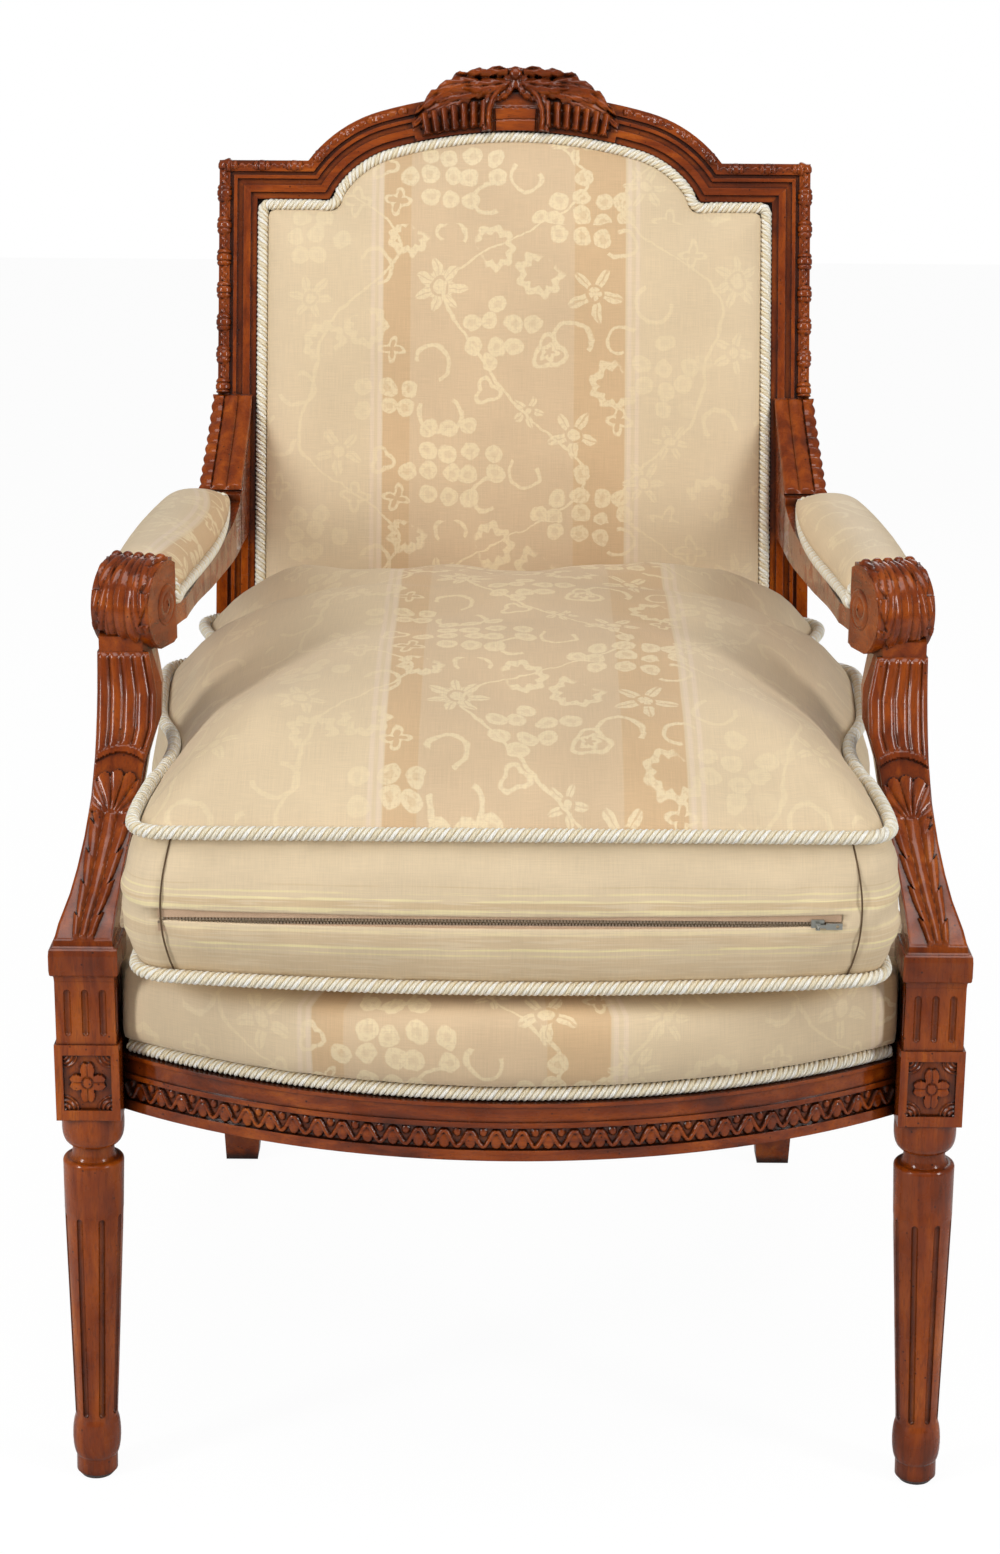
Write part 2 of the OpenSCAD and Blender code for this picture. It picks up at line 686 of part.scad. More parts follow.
// Shares of the rise, and of half the cap's width outward, of the front view's two edges
support_outer_shares = [
    [0, 1], [0.05, 0.9], [0.14, 0.6], [0.22, 0.42], [0.32, 0.25], [0.45, 0.1], [0.6, 0.02],
    [0.8, -0.02], [1, -0.05]
];
support_inner_shares = [
    [1, -1.85], [0.83, -2.12], [0.7, -2.08], [0.62, -1.85], [0.56, -1.7], [0.48, -1.6], [0.36, -1.42],
    [0.22, -1.2], [0.1, -1.06], [0, -1]
];
module support_front() polygon([
    for (p = concat(support_outer_shares, support_inner_shares))
        [-leg_x - p[1] * cap_neck_w / 2, seat_h + p[0] * support_rise]
]);
// Shares of half the cap's width backward, and outward, of the plan's inner edge
support_plan_shares = [[-2, -1], [1, -1.1], [2.4, -1.25], [4, -1.5], [4.6, -1.68], [6, -2.2], [7, -2.4]];
module support_plan() polygon(concat(
    [for (p = support_plan_shares) [-leg_x - p[1] * cap_neck_w / 2, p[0] * cap_neck_w / 2]],
    [[-leg_x - over, over * 3], [-leg_x - over, -over]]
));
module arm_support() color(walnut) home() difference() {
    intersection() {
        translate([-leg_x, 0, 0]) across(4 * over) polygon(support_side());
        facing(far) support_front();
        linear_extrude(far) support_plan();
    }
    arm_dowel_holes();
}
module arm_support_left() arm_support();
module arm_support_right() right_side() arm_support();

// Arms: upsweep at the post, bed of the pad, and scroll
pad_front = scroll_back + scroll_r / 4;
pad_rear_fore = 12;
pad_rear = seat_depth - pad_rear_fore;
// Heights above the tops of the supports
bed_front_rise = 27;
bed_mid_rise = 22;
bed_rear_rise = 38;
shelf_rise = 44;
underside_rise = 10;
bed_front_z = arm_h + bed_front_rise;
bed_mid_z = arm_h + bed_mid_rise;
bed_rear_z = arm_h + bed_rear_rise;
shelf_z = arm_h + shelf_rise;
shelf_len = 14;
underside_z = arm_h - arm_lip;
underside_front_z = arm_h + underside_rise;
scroll_z = arm_h + scroll_r - arm_lip;
scroll_in = 29;
scroll_x = leg_x - scroll_in;
scroll_turn = 18;
post_face_y = seat_depth + (arm_h - seat_h) * lean;
wing_y = seat_depth + (wing_top - seat_h) * lean;
arm_out_in = 3;
arm_out = leg_x - arm_out_in;
arm_in = arm_out - arm_w;
wing_over = 8;
wing_out = post_x + wing_over;
wing_inside = 6;
pad_rear_out = 9.7;
pad_rear_w = 35.34;
wing_in = sight_x + wing_inside;

// Height of the bed under the pad, and the pad's two edges, at depth y
function pad_share(y) = (y - pad_front) / (pad_rear - pad_front);
function bed_z(y) = bezier(bed_front_z, bed_mid_z, bed_mid_z - arm_lip * 3, bed_rear_z, pad_share(y));
function pad_in(y) = bezier(arm_in + 0.08 * arm_w, arm_in + 0.12 * arm_w, arm_in - 0.26 * arm_w,
                            wing_out + pad_rear_out - pad_rear_w, pad_share(y));
function pad_out(y) = bezier(arm_out, arm_out + 0.05 * arm_w, arm_out + 0.11 * arm_w,
                             wing_out + pad_rear_out, pad_share(y));
bed_steps = 14;
module arm_side() polygon(concat(
    [[scroll_back, scroll_z + scroll_r], [pad_front, scroll_z + scroll_r]],
    [for (i = [0 : bed_steps]) let (y = mix(pad_front, pad_rear, i / bed_steps)) [y, bed_z(y)]],
    [[pad_rear, shelf_z], [pad_rear + shelf_len, shelf_z]],
    curve([pad_rear + shelf_len, shelf_z + arm_lip], [pad_rear + 3 * shelf_len, mix(shelf_z, wing_top, 0.35)],
          [mix(pad_rear, wing_y, 0.75), mix(shelf_z, wing_top, 0.6)], [wing_y, wing_top], 10),
    [[wing_y + over, wing_top], [post_face_y + over, underside_z]],
    curve([0.72 * pad_rear, underside_z], [0.6 * pad_rear, underside_z],
          [0.5 * pad_rear, underside_front_z - arm_lip], [scroll_back + scroll_r, underside_front_z], 8),
    [[support_top_y[1], underside_front_z], [support_top_y[1], arm_h], [support_top_y[0], arm_h],
     [support_top_y[0], scroll_z - 0.6 * scroll_r], [scroll_back, scroll_z]]
));
module arm_plan() polygon(concat(
    curve([-post_x - arm_lip, wing_y + over], [-post_x - arm_lip, wing_y],
          [-post_x - 2 * arm_lip, wing_y - over / 2], [-wing_out, pad_rear + shelf_len], 8),
    [for (i = [0 : 8]) let (y = mix(pad_rear, pad_front, i / 9)) [-pad_out(y), y]],
    [[-scroll_x - 0.5 * scroll_w, scroll_back], [-scroll_x - 0.58 * scroll_w, support_top_y[0]],
     [-scroll_x + 0.12 * scroll_w, support_top_y[0]], [-scroll_x + 0.5 * scroll_w, scroll_back]],
    curve([-pad_in(pad_front + scroll_r), pad_front + scroll_r], [-arm_in - 2 * arm_lip, 3 * pad_front],
          [-arm_in + 4 * arm_lip, 0.75 * seat_depth], [-wing_in, pad_rear], 8),
    [[-wing_in, pad_rear + shelf_len], [-sight_x - arm_lip, wing_y + over]]
));
module arm() color(walnut) home() difference() {
    union() {
        intersection() {
            translate([-scroll_x, 0, 0]) across(far) arm_side();
            linear_extrude(2 * far) arm_plan();
        }
        difference() {
            translate([-scroll_x, scroll_back, scroll_z]) rotate([0, 0, -scroll_turn]) rotate([0, 90, 0])
                cylinder(scroll_w, scroll_r, scroll_r, center = true, $fn = 96);
            translate([-far, -far / 2, arm_h - far]) cube(far * [2, 1, 1]);
            translate([-far, pad_front, 0]) cube(far * [2, 1, 1]);
        }
    }
    behind_post_face(0);
    arm_dowel_holes();
}
module arm_left() arm();
module arm_right() right_side() arm();

// Dowels: from each support up into the arm, and from the arm back into the post
arm_dowel_y = scroll_back - scroll_r / 6;
arm_dowel_x = scroll_x + scroll_w / 10;
wing_dowel_shares = [0.16, 0.4];
wing_dowel_zs = [for (share = wing_dowel_shares) mix(arm_h, wing_top, share)];
arm_dowel_r = 5;
module left_arm_dowels(gap) {
    translate([-arm_dowel_x, arm_dowel_y, arm_h]) dowel(gap, r = arm_dowel_r);
    for (z = wing_dowel_zs)
        translate([-post_x + face_w / 2, seat_depth + (z - seat_h) * lean, z]) rotate([90, 0, 0]) dowel(gap);
}
module arm_dowel_holes() left_arm_dowels(glue);
module arm_dowels() color(beech) home() both_sides() left_arm_dowels(0);

// Arm pads: crowned, narrowed at both ends, and a cord round the foot of each
pad_steps = 14;
pad_gap = cord_d + 2 * fit;
pad_start = pad_front + pad_gap;
pad_end = pad_rear - pad_gap;
round_steps = 8;
function pad_mid_x(y) = -(pad_in(y) + pad_out(y)) / 2;
function pad_half(y) = (pad_out(y) - pad_in(y)) / 2;
// The crown keeps its height, and falls away over the last quarter
function pad_top(y) = pad_h * (1 - 0.7 * pow(max(0, 4 * pad_share(y) - 3), 2));
function pad_ring(i) = let (
    y = mix(pad_start, pad_end, i / pad_steps),
    end = i == pad_steps || i == 0 ? 0.75 : 1,
    half = (pad_half(y) - pad_gap) * end,
    full = pad_half(y) * (end + 1) / 2,
    z = bed_z(y) + fit,
    shelf = z + cord_d + fit,
    top = (pad_top(y) - cord_d + bed_mid_z - bed_z(y)) * end)
    concat(
        [[pad_mid_x(y) - half, y, shelf], [pad_mid_x(y) - half, y, z],
         [pad_mid_x(y) + half, y, z], [pad_mid_x(y) + half, y, shelf]],
        [for (k = [0 : round_steps]) let (a = 8 + 164 * k / round_steps)
            [pad_mid_x(y) + full * cos(a), y, shelf + top * sin(a)]]
    );
module arm_pad() color(damask) home() rings([for (i = [pad_steps : -1 : 0]) pad_ring(i)]);
module arm_pad_left() arm_pad();
module arm_pad_right() right_side() arm_pad();

// Each pad's cord, from the middle of the rear along one side, up over the front and back
pad_cord_steps = 12;
front_cord_y = pad_front + fit + cord_r;
rear_cord_y = pad_rear - fit - cord_r;
function cord_bed_z(y) = bed_z(y) + cord_r + fit;
function pad_cord_rear(way) = [for (share = [0.02, 0.4, 0.75])
    [pad_mid_x(rear_cord_y) + way * share * (pad_half(rear_cord_y) - cord_r),
     rear_cord_y, cord_bed_z(rear_cord_y)]];
function pad_cord_side(way) = [for (i = [0 : pad_cord_steps])
    let (y = mix(rear_cord_y - cord_r, front_cord_y, i / pad_cord_steps))
    [pad_mid_x(y) + way * (pad_half(y) - cord_r), y, cord_bed_z(y)]];
function pad_cord_front() = [for (k = [1 : 9]) let (a = 18 * k)
    [pad_mid_x(front_cord_y) + (pad_half(front_cord_y) - cord_r) * cos(a), front_cord_y,
     cord_bed_z(front_cord_y) + (pad_h - 1.5 * cord_d) * sin(a)]];
function reversed(list) = [for (i = [len(list) - 1 : -1 : 0]) list[i]];
module arm_pad_cord() color(rope) home() tube(
    concat(pad_cord_rear(1), pad_cord_side(1), pad_cord_front(),
           reversed(pad_cord_side(-1)), reversed(pad_cord_rear(-1))),
    cord_r, [0, 0, 1]);
module arm_pad_cord_left() arm_pad_cord();
module arm_pad_cord_right() right_side() arm_pad_cord();

// Fixed seat. Its outline, counter-clockwise from the middle of the front
notch_gap = 0.8;
front_steps = 12;
side_points = 4;
function seat_half(out) = let (
    r = bow_r - ledge_w + out,
    x = block_in - notch_gap,
    a = asin(x / r),
    s = side_front + (ledge_w - out) * [-cos(side_turn), -sin(side_turn)],
    e = side_rear + (ledge_w - out) * [-cos(side_turn), -sin(side_turn)] + [0, over / 2])
    concat(
        arc([0, bow_y], r, -90, -90 + a, front_steps),
        [[x, block_w / 2 + notch_gap], [s[0], block_w / 2 + notch_gap]],
        [for (i = [1 : side_points]) mix([s[0], block_w / 2 + notch_gap], e, i / side_points)]
    );
function seat_loop(out) = let (half = seat_half(out), n = len(half)) concat(
    half, [for (i = [n - 1 : -1 : 1]) [-half[i][0], half[i][1]]]
);
// The same loop drawn in towards the middle of the seat
seat_mid = [0, seat_depth * 0.42];
function seat_ring(out, draw, z) =
    [for (p = seat_loop(out)) let (q = mix(p, seat_mid, draw)) [q[0], q[1], z]];

cover_base = ledge_z + cord_d + 2 * fit;
web_t = 1.6;
hessian_z = rail_top + fit + 2 * web_t;
hessian_t = 1;
seat_top = rail_top + fixed_seat_h;
stuffing_inset = 12;
stuffing_z = hessian_z + hessian_t + fit;
stuffing_drop = 10;
stuffing_top = seat_top - stuffing_drop;
cover_wall = 3;
cover_foot_h = 6;
shoulder_in = 4;
hessian_inset = 4;
web_inset = 6;

module seat_cover() color(damask) home() difference() {
    rings([
        seat_ring(cover_wall, 0, cover_base),
        seat_ring(ledge_w, 0, cover_base + cover_foot_h),
        seat_ring(ledge_w + bulge, 0, mix(cover_base, seat_top, 0.35)),
        seat_ring(ledge_w + 0.75 * bulge, 0, mix(cover_base, seat_top, 0.6)),
        seat_ring(ledge_w - shoulder_in, 0, mix(cover_base, seat_top, 0.82)),
        seat_ring(ledge_w - shoulder_in, 0.08, mix(cover_base, seat_top, 0.93)),
        seat_ring(ledge_w - shoulder_in, 0.28, mix(cover_base, seat_top, 0.99)),
        seat_ring(ledge_w - shoulder_in, 0.5, seat_top)
    ]);
    translate([0, 0, ledge_z - over]) linear_extrude(stuffing_z - fit - ledge_z + over)
        polygon(seat_loop(fit));
    translate([0, 0, stuffing_z - over / 2]) linear_extrude(stuffing_top + fit - stuffing_z + over / 2)
        polygon(inset(seat_loop(fit), stuffing_inset - fit));
    behind_post_face(fit);
}
module seat_stuffing() color(hair) home() difference() {
    translate([0, 0, stuffing_z]) linear_extrude(stuffing_top - stuffing_z)
        polygon(inset(seat_loop(0), stuffing_inset));
    behind_post_face(4 * cover_wall);
}
module seat_hessian() color(jute) home() difference() {
    translate([0, 0, hessian_z]) linear_extrude(hessian_t) polygon(inset(seat_loop(0), hessian_inset));
    behind_post_face(fit);
}

// Webbing, in two layers that cross
web_w = 50;
webs_across = [0.14, 0.36, 0.58, 0.8];
webs_along = [-0.62, -0.31, 0, 0.31, 0.62];
module seat_webbing() color(jute) home() {
    intersection() {
        union() for (share = webs_across)
            translate([-far / 2, share * seat_depth - web_w / 2, rail_top + fit / 2])
                cube([far, web_w, web_t]);
        translate([0, 0, rail_top]) linear_extrude(over) polygon(inset(seat_loop(0), web_inset));
    }
    difference() {
        intersection() {
            union() for (share = webs_along)
                translate([share * sight_x - web_w / 2, -far / 2, rail_top + fit / 2 + web_t])
                    cube([web_w, far, web_t]);
            translate([0, 0, rail_top]) linear_extrude(over) polygon(inset(seat_loop(0), web_inset));
        }
        behind_post_face(fit);
    }
}

// Cord on the ledge of the rails, in one length for each side of the seat
seat_cord_out = fit + cord_r;
seat_cord_z = ledge_z + fit + cord_r;
module seat_cord() color(rope) home() {
    r = bow_r - ledge_w + seat_cord_out;
    a = asin((block_in - cord_r) / r);
    tube([for (p = arc([0, bow_y], r, -90 - a, -90 + a, 32)) [p[0], p[1], seat_cord_z]], cord_r, [0, 0, 1]);
    for (way = [-1, 1]) {
        off = (ledge_w - seat_cord_out) * [-cos(side_turn), -sin(side_turn)];
        end_gap = (cord_r + notch_gap) * [-sin(side_turn), cos(side_turn)];
        start = side_front + off + end_gap;
        stop = side_rear + off - end_gap;
        tube([for (i = [0 : 4]) let (p = mix(start, stop, i / 4)) [way * p[0], p[1], seat_cord_z]],
             cord_r, [0, 0, 1]);
    }
}

// Black cloth tacked under the rails
cloth_t = 1;
cloth_margin = 9;
module bottom_cloth() color([0.12, 0.12, 0.12]) home() difference() {
    translate([0, 0, rail_base - cloth_t - glue]) linear_extrude(cloth_t) intersection() {
        translate([0, bow_y]) circle(bow_r - cloth_margin, $fn = 256);
        polygon([[-block_in + notch_gap, -far], [block_in - notch_gap, -far],
                 [block_in - notch_gap, block_w / 2 + notch_gap],
                 [side_front[0] - cloth_margin, block_w / 2 + notch_gap],
                 [side_rear[0] - cloth_margin, knee_y - reveal],
                 [post_in - reveal, knee_y - reveal],
                 [post_in - reveal, rear_rail_y + rear_rail_t - reveal],
                 [-post_in + reveal, rear_rail_y + rear_rail_t - reveal],
                 [-post_in + reveal, knee_y - reveal],
                 [-side_rear[0] + cloth_margin, knee_y - reveal],
                 [-side_front[0] + cloth_margin, block_w / 2 + notch_gap],
                 [-block_in + notch_gap, block_w / 2 + notch_gap]]);
    }
}

// Back upholstery. The opening's outline in the back's plane, out from the frame's sight line
panel_gap = cord_d + 4 * fit;
panel_rise = 6;
panel_low = back_rail_low + panel_rise;
s_bend = 14;
s_room = 3.8;
corner_r = 5;
// Half a loop that keeps an even distance u from the frame's outer edge
function panel_half(u, low) = let (
    x = post_x - u,
    top = back_h - u,
    r = flank_r - u,
    turn = acos((top - flank_c[1]) / r),
    kink = [flank_c[0] + r * sin(turn), top],
    k = kink - [s_room, s_room],
    q = kink + [s_bend, 0],
    cut = s_bend / r * 180 / PI,
    p = flank_c + r * [sin(turn - cut), cos(turn - cut)])
    concat(
        [[0, low], [x / 2, low], [x, low], [x, mix(low, top, 0.25)], [x, mix(low, top, 0.5)],
         [x, mix(low, top, 0.75)], [x, top - corner_r]],
        arc([x - corner_r, top - corner_r], corner_r, 15, 75, 2),
        [[x - corner_r, top], mix([x - corner_r, top], q, 0.6)],
        [for (i = [0 : 4]) bezier(q, mix(q, k, 0.7), mix(p, k, 0.7), p, i / 4)],
        [for (i = [1 : 4]) let (a = mix(turn - cut, arch_turn, i / 4)) flank_c + r * [sin(a), cos(a)]],
        [for (i = [1 : 4]) let (a = arch_turn * (1 - i / 4)) [0, arch_c] + (arch_r - u) * [sin(a), cos(a)]]
    );
function panel_loop(u, low) = let (half = panel_half(u, low), n = len(half)) concat(
    half, [for (i = [n - 2 : -1 : 1]) [-half[i][0], half[i][1]]]
);
panel_mid = [0, 0.5 * back_h];
function panel_ring(u, draw, y) = [for (p = panel_loop(u, panel_low))
    let (q = mix(p, panel_mid, draw)) [q[0], y, q[1]]];

back_crown = 12;
panel_u = face_w + panel_gap;
back_wall = 24;
stuffing_y = -2;
module back_cover() color(damask) home() on_back() difference() {
    rings([
        panel_ring(panel_u, 0, rebate_d - fit),
        panel_ring(panel_u, 0, rebate_d / 8),
        panel_ring(panel_u, 0.012, -back_crown / 8),
        panel_ring(panel_u, 0.06, -back_crown * 0.5),
        panel_ring(panel_u, 0.2, -back_crown * 0.8),
        panel_ring(panel_u, 0.45, -back_crown * 0.95),
        panel_ring(panel_u, 0.7, -back_crown)
    ]);
    translate([0, over / 2 + stuffing_y - fit, 0]) facing(over)
        polygon(panel_loop(panel_u + back_wall - fit, panel_low + back_wall - fit));
}
module back_stuffing() color(hair) home() on_back()
    translate([0, (rebate_d - 2 * web_t - fit + stuffing_y) / 2, 0])
        facing(rebate_d - 2 * web_t - fit - stuffing_y)
            polygon(panel_loop(panel_u + back_wall, panel_low + back_wall));
back_webs_across = [0.14, 0.32, 0.5, 0.68, 0.86];
back_webs_up = [-0.5, 0, 0.5];
module back_webbing() color(jute) home() on_back() intersection() {
    union() {
        for (share = back_webs_across)
            translate([-far / 2, rebate_d - web_t, share * back_h]) cube([far, web_t, web_w]);
        for (share = back_webs_up)
            translate([share * sight_x - web_w / 2, rebate_d - 2 * web_t, 0]) cube([web_w, web_t, far]);
    }
    translate([0, rebate_d, 0]) facing(over) polygon(panel_loop(panel_u + back_wall, panel_low + back_wall));
}
module back_cord() color(rope) home() on_back() {
    loop = panel_loop(face_w + fit + cord_r, panel_low - cord_r - fit);
    n = len(loop);
    tube([for (i = [0 : n - 1]) let (p = i == 0 ? [fit, loop[0][1]] : loop[i])
             [p[0], rebate_d - fit - cord_r, p[1]]],
         cord_r, [0, 1, 0]);
}

// Plain cloth that closes the back behind, with its own cord
rear_cloth_rise = 4;
module outside_back_cloth() color(damask) home() on_back()
    translate([0, frame_t + rear_cloth_t / 2 + glue, 0]) facing(rear_cloth_t)
        polygon(panel_loop(rear_margin + rear_cord_d, back_rail_low + rear_cloth_rise));
module outside_back_cord() color(rope) home() on_back() {
    loop = panel_loop(rear_margin + rear_cord_d / 2 - fit,
                      back_rail_low + rear_cloth_rise - rear_cord_d / 2 - fit);
    tube([for (i = [0 : len(loop) - 1]) let (p = i == 0 ? [fit, loop[0][1]] : loop[i])
             [p[0], frame_t + rear_cord_d / 2 + fit, p[1]]], rear_cord_d / 2, [0, 1, 0]);
}

// Loose cushion. Its plan: straight front, sides that spread behind the arm supports,
// a notch at each side and two ears that reach past the posts
cushion_base = seat_top + fit;
seam_lift = 1;
seam_z = cushion_base + cord_r + seam_lift;
top_seam_z = seam_z + boxing_h;
cushion_front = -cushion_over;
// Half outline from the middle of the front: shares of half the width, of the depth,
// and of the boxing's bulge, which is less where the arms and the notch press it in
plan_shares = [
    [0, 0, 1], [0.3, 0, 1], [0.6, 0, 1], [0.9, 0, 1], [0.965, 0.005, 1], [0.992, 0.02, 1], [1, 0.045, 1],
    [0.998, 0.107, 0.9], [0.984, 0.196, 0.8], [0.969, 0.231, 0.8], [0.958, 0.32, 0.8], [0.975, 0.391, 0.8],
    [1.03, 0.48, 0.8], [1.055, 0.587, 0.8], [1.068, 0.676, 0.7], [1.06, 0.721, 0.5], [1.02, 0.742, 0.4],
    [0.95, 0.75, 0.3], [0.895, 0.757, 0.2], [0.875, 0.779, 0.1], [0.893, 0.81, 0.2], [0.93, 0.854, 0.3],
    [0.975, 0.907, 0.4], [1.003, 0.952, 0.5], [1.005, 0.979, 0.5], [0.98, 0.996, 0.5], [0.93, 1, 0.6],
    [0.6, 1, 0.6], [0.3, 1, 0.6]
];
cushion_w = leg_span - 2 * cushion_room;
cushion_tuck = 6;
cushion_d = seat_depth + cushion_over + cushion_tuck;
seam_w = cushion_w - 2 * (cord_d + 2 * fit);
plan_half = [for (p = plan_shares) [p[0] * seam_w / 2, cushion_front + p[1] * cushion_d]];
plan_count = len(plan_half);
plan_loop = concat(
    plan_half, [[0, cushion_front + cushion_d]],
    [for (i = [plan_count - 1 : -1 : 1]) [-plan_half[i][0], plan_half[i][1]]]
);
bulge_shares = concat(
    [for (p = plan_shares) p[2]], [1], [for (i = [plan_count - 1 : -1 : 1]) plan_shares[i][2]]
);
// The plan grown outward, by up to the distance given
function grown(distance, shares) = let (far_loop = inset(plan_loop, -distance))
    [for (i = [0 : len(plan_loop) - 1]) mix(plan_loop[i], far_loop[i], shares[i])];
even_shares = [for (share = bulge_shares) 1];
cushion_mid = [0, cushion_front + 0.6 * cushion_d];
rear_rise = 16;
corner_rise = 9;
// Higher rings lean back towards the rear, as the back does
function leaned(p, z) = let (s = (p[1] - cushion_front) / cushion_d)
    [p[0],
     min(p[1], cushion_front + cushion_d + cord_d)
       - (1 - (z - cushion_base) / (top_seam_z - cushion_base)) * s * boxing_h * lean,
     z + s * rear_rise * max(0, (z - seam_z) / boxing_h)
       + corner_rise * pow(p[0] / seam_w * 2, 2) * max(0, 1 - max(0, z - seam_z) / boxing_h)];
function cushion_ring(grow, draw, z) = [for (p = grown(grow, grow > 0 ? bulge_shares : even_shares))
    leaned(mix(p, cushion_mid, draw), z)];

zip_z = mix(seam_z, top_seam_z, 0.46);
boxing_out = 15;
module cushion_form() rings([
    cushion_ring(-boxing_out, 0.1, cushion_base),
    cushion_ring(-0.4 * boxing_out, 0, cushion_base + cord_r / 2),
    cushion_ring(0, 0, seam_z + cord_r / 2),
    cushion_ring(0.6 * boxing_out, 0, mix(seam_z, top_seam_z, 0.12)),
    cushion_ring(boxing_out, 0, mix(seam_z, top_seam_z, 0.3)),
    cushion_ring(boxing_out, 0, mix(seam_z, top_seam_z, 0.56)),
    cushion_ring(0.75 * boxing_out, 0, mix(seam_z, top_seam_z, 0.77)),
    cushion_ring(0, 0, top_seam_z),
    cushion_ring(0, 0.045, top_seam_z + 0.18 * crown_h),
    cushion_ring(0, 0.15, top_seam_z + 0.48 * crown_h),
    cushion_ring(0, 0.3, top_seam_z + 0.76 * crown_h),
    cushion_ring(0, 0.5, top_seam_z + 0.92 * crown_h),
    cushion_ring(0, 0.72, top_seam_z + 0.98 * crown_h),
    cushion_ring(0, 0.9, top_seam_z + crown_h)
]);
filling_inset = 12;
filling_corner = 30;
// Quilted feather case inside the cover, in plain form
module filling_form(gap) {
    half_w = 0.88 * seam_w / 2 + gap;
    front = cushion_front + 2 * filling_inset - gap;
    rear = cushion_front + 0.78 * cushion_d + gap;
    translate([0, 0, cushion_base + filling_inset - gap])
        linear_extrude(boxing_h - filling_inset + 2 * gap)
            polygon([[-half_w, front + filling_corner], [-half_w + filling_corner, front],
                     [half_w - filling_corner, front], [half_w, front + filling_corner],
                     [half_w, rear - filling_corner], [half_w - filling_corner, rear],
                     [-half_w + filling_corner, rear], [-half_w, rear - filling_corner]]);
}
// Slot in the front boxing that holds the zip
slot_h = 16;
slot_d = 5;
zip_front = cushion_front - boxing_out;
zip_len = cushion_w - 2 * zip_margin;
zip_shift = 8;
zip_x0 = -zip_len / 2 - zip_shift;
slit_h = 2;
module zip_slot() {
    translate([zip_x0, zip_front - over, zip_z - slot_h / 2])
        cube([zip_len, over + slot_d, slot_h]);
    translate([zip_x0, zip_front, zip_z - slit_h / 2])
        cube([zip_len, boxing_out + 3 * filling_inset, slit_h]);
}
module cushion_cover() color(damask) home() difference() {
    cushion_form();
    filling_form(fit);
    zip_slot();
}
module cushion_filling() color([0.93, 0.92, 0.88]) home() filling_form(0);

// The cord's ends meet at the middle of the rear
function seam_route(z) = let (loop = grown(cord_r + 2 * fit, even_shares), n = len(loop))
    [for (i = [0 : n]) let (k = (i + plan_count) % n)
        leaned(i == n ? mix(loop[k - 1], loop[k], 0.98) : loop[k], z)];
module cushion_seam_cord(z) tube(seam_route(z), cord_r, [0, 0, 1]);
module cushion_top_cord() color(rope) home() cushion_seam_cord(top_seam_z + seam_lift);
module cushion_bottom_cord() color(rope) home() cushion_seam_cord(seam_z);

// Zip: two tapes, the chain between them, the slider and its pull tab
tape_t = 0.6;
zip_sink = 2.4;
tape_y = zip_front + zip_sink;
chain_t = 1.6;
chain_y = tape_y + tape_t / 2 - chain_t / 2;
module zip_tape() color([0.72, 0.62, 0.48]) home() for (way = [-1, 1])
    translate([zip_x0, tape_y, zip_z + (way > 0 ? chain_w / 2 : -slot_h / 2)])
        cube([zip_len, tape_t, (slot_h - chain_w) / 2]);
// The chain's two rows, with a gap that the slider's bridge runs in
row_gap = 0.8;
module zip_chain() color([0.45, 0.40, 0.36]) home() for (way = [-1, 1])
    translate([zip_x0, chain_y, zip_z + (way > 0 ? row_gap / 2 : -chain_w / 2)])
        cube([zip_len, chain_t, (chain_w - row_gap) / 2]);

slider_w = 8.4;
slider_plate = 1;
slider_gap = 0.3;
slider_margin = 12;
slider_x = zip_x0 + zip_len - slider_len - slider_margin;
slider_y = chain_y - slider_gap - slider_plate;
slider_d = chain_t + 2 * slider_gap + 2 * slider_plate;
lug_r = 1.5;
lug_w = 3;
pin_r = 0.6;
bridge_t = 0.4;
cheek_t = 1;
module zip_slider() color(steel) home() {
    difference() {
        translate([slider_x, slider_y, zip_z - slider_w / 2]) cube([slider_len, slider_d, slider_w]);
        translate([slider_x - over, chain_y - slider_gap, zip_z - chain_w / 2 - slider_gap])
            cube([3 * over, chain_t + 2 * slider_gap, chain_w + 2 * slider_gap]);
        translate([slider_x - over, tape_y - slider_gap, zip_z - over])
            cube([3 * over, tape_t + 2 * slider_gap, 2 * over]);
    }
    translate([slider_x + slider_len / 3, slider_y, zip_z - bridge_t / 2])
        cube([slider_len / 3, slider_d, bridge_t]);
    for (way = [-1, 1])
        translate([slider_x + slider_len / 2 - lug_r, slider_y - 2 * lug_r,
                   zip_z + way * (lug_w + cheek_t) / 2 - cheek_t / 2])
            cube([2 * lug_r, 2 * lug_r, cheek_t]);
    translate([slider_x + slider_len / 2, slider_y - lug_r, zip_z])
        cylinder(lug_w + 2 * cheek_t, pin_r, pin_r, center = true, $fn = 24);
}
pull_w = 4.6;
pull_t = 1;
pull_eye_r = 1.2;
pull_play = 0.3;
pin_play = 0.08;
pull_eye_h = lug_w - 2 * pull_play;
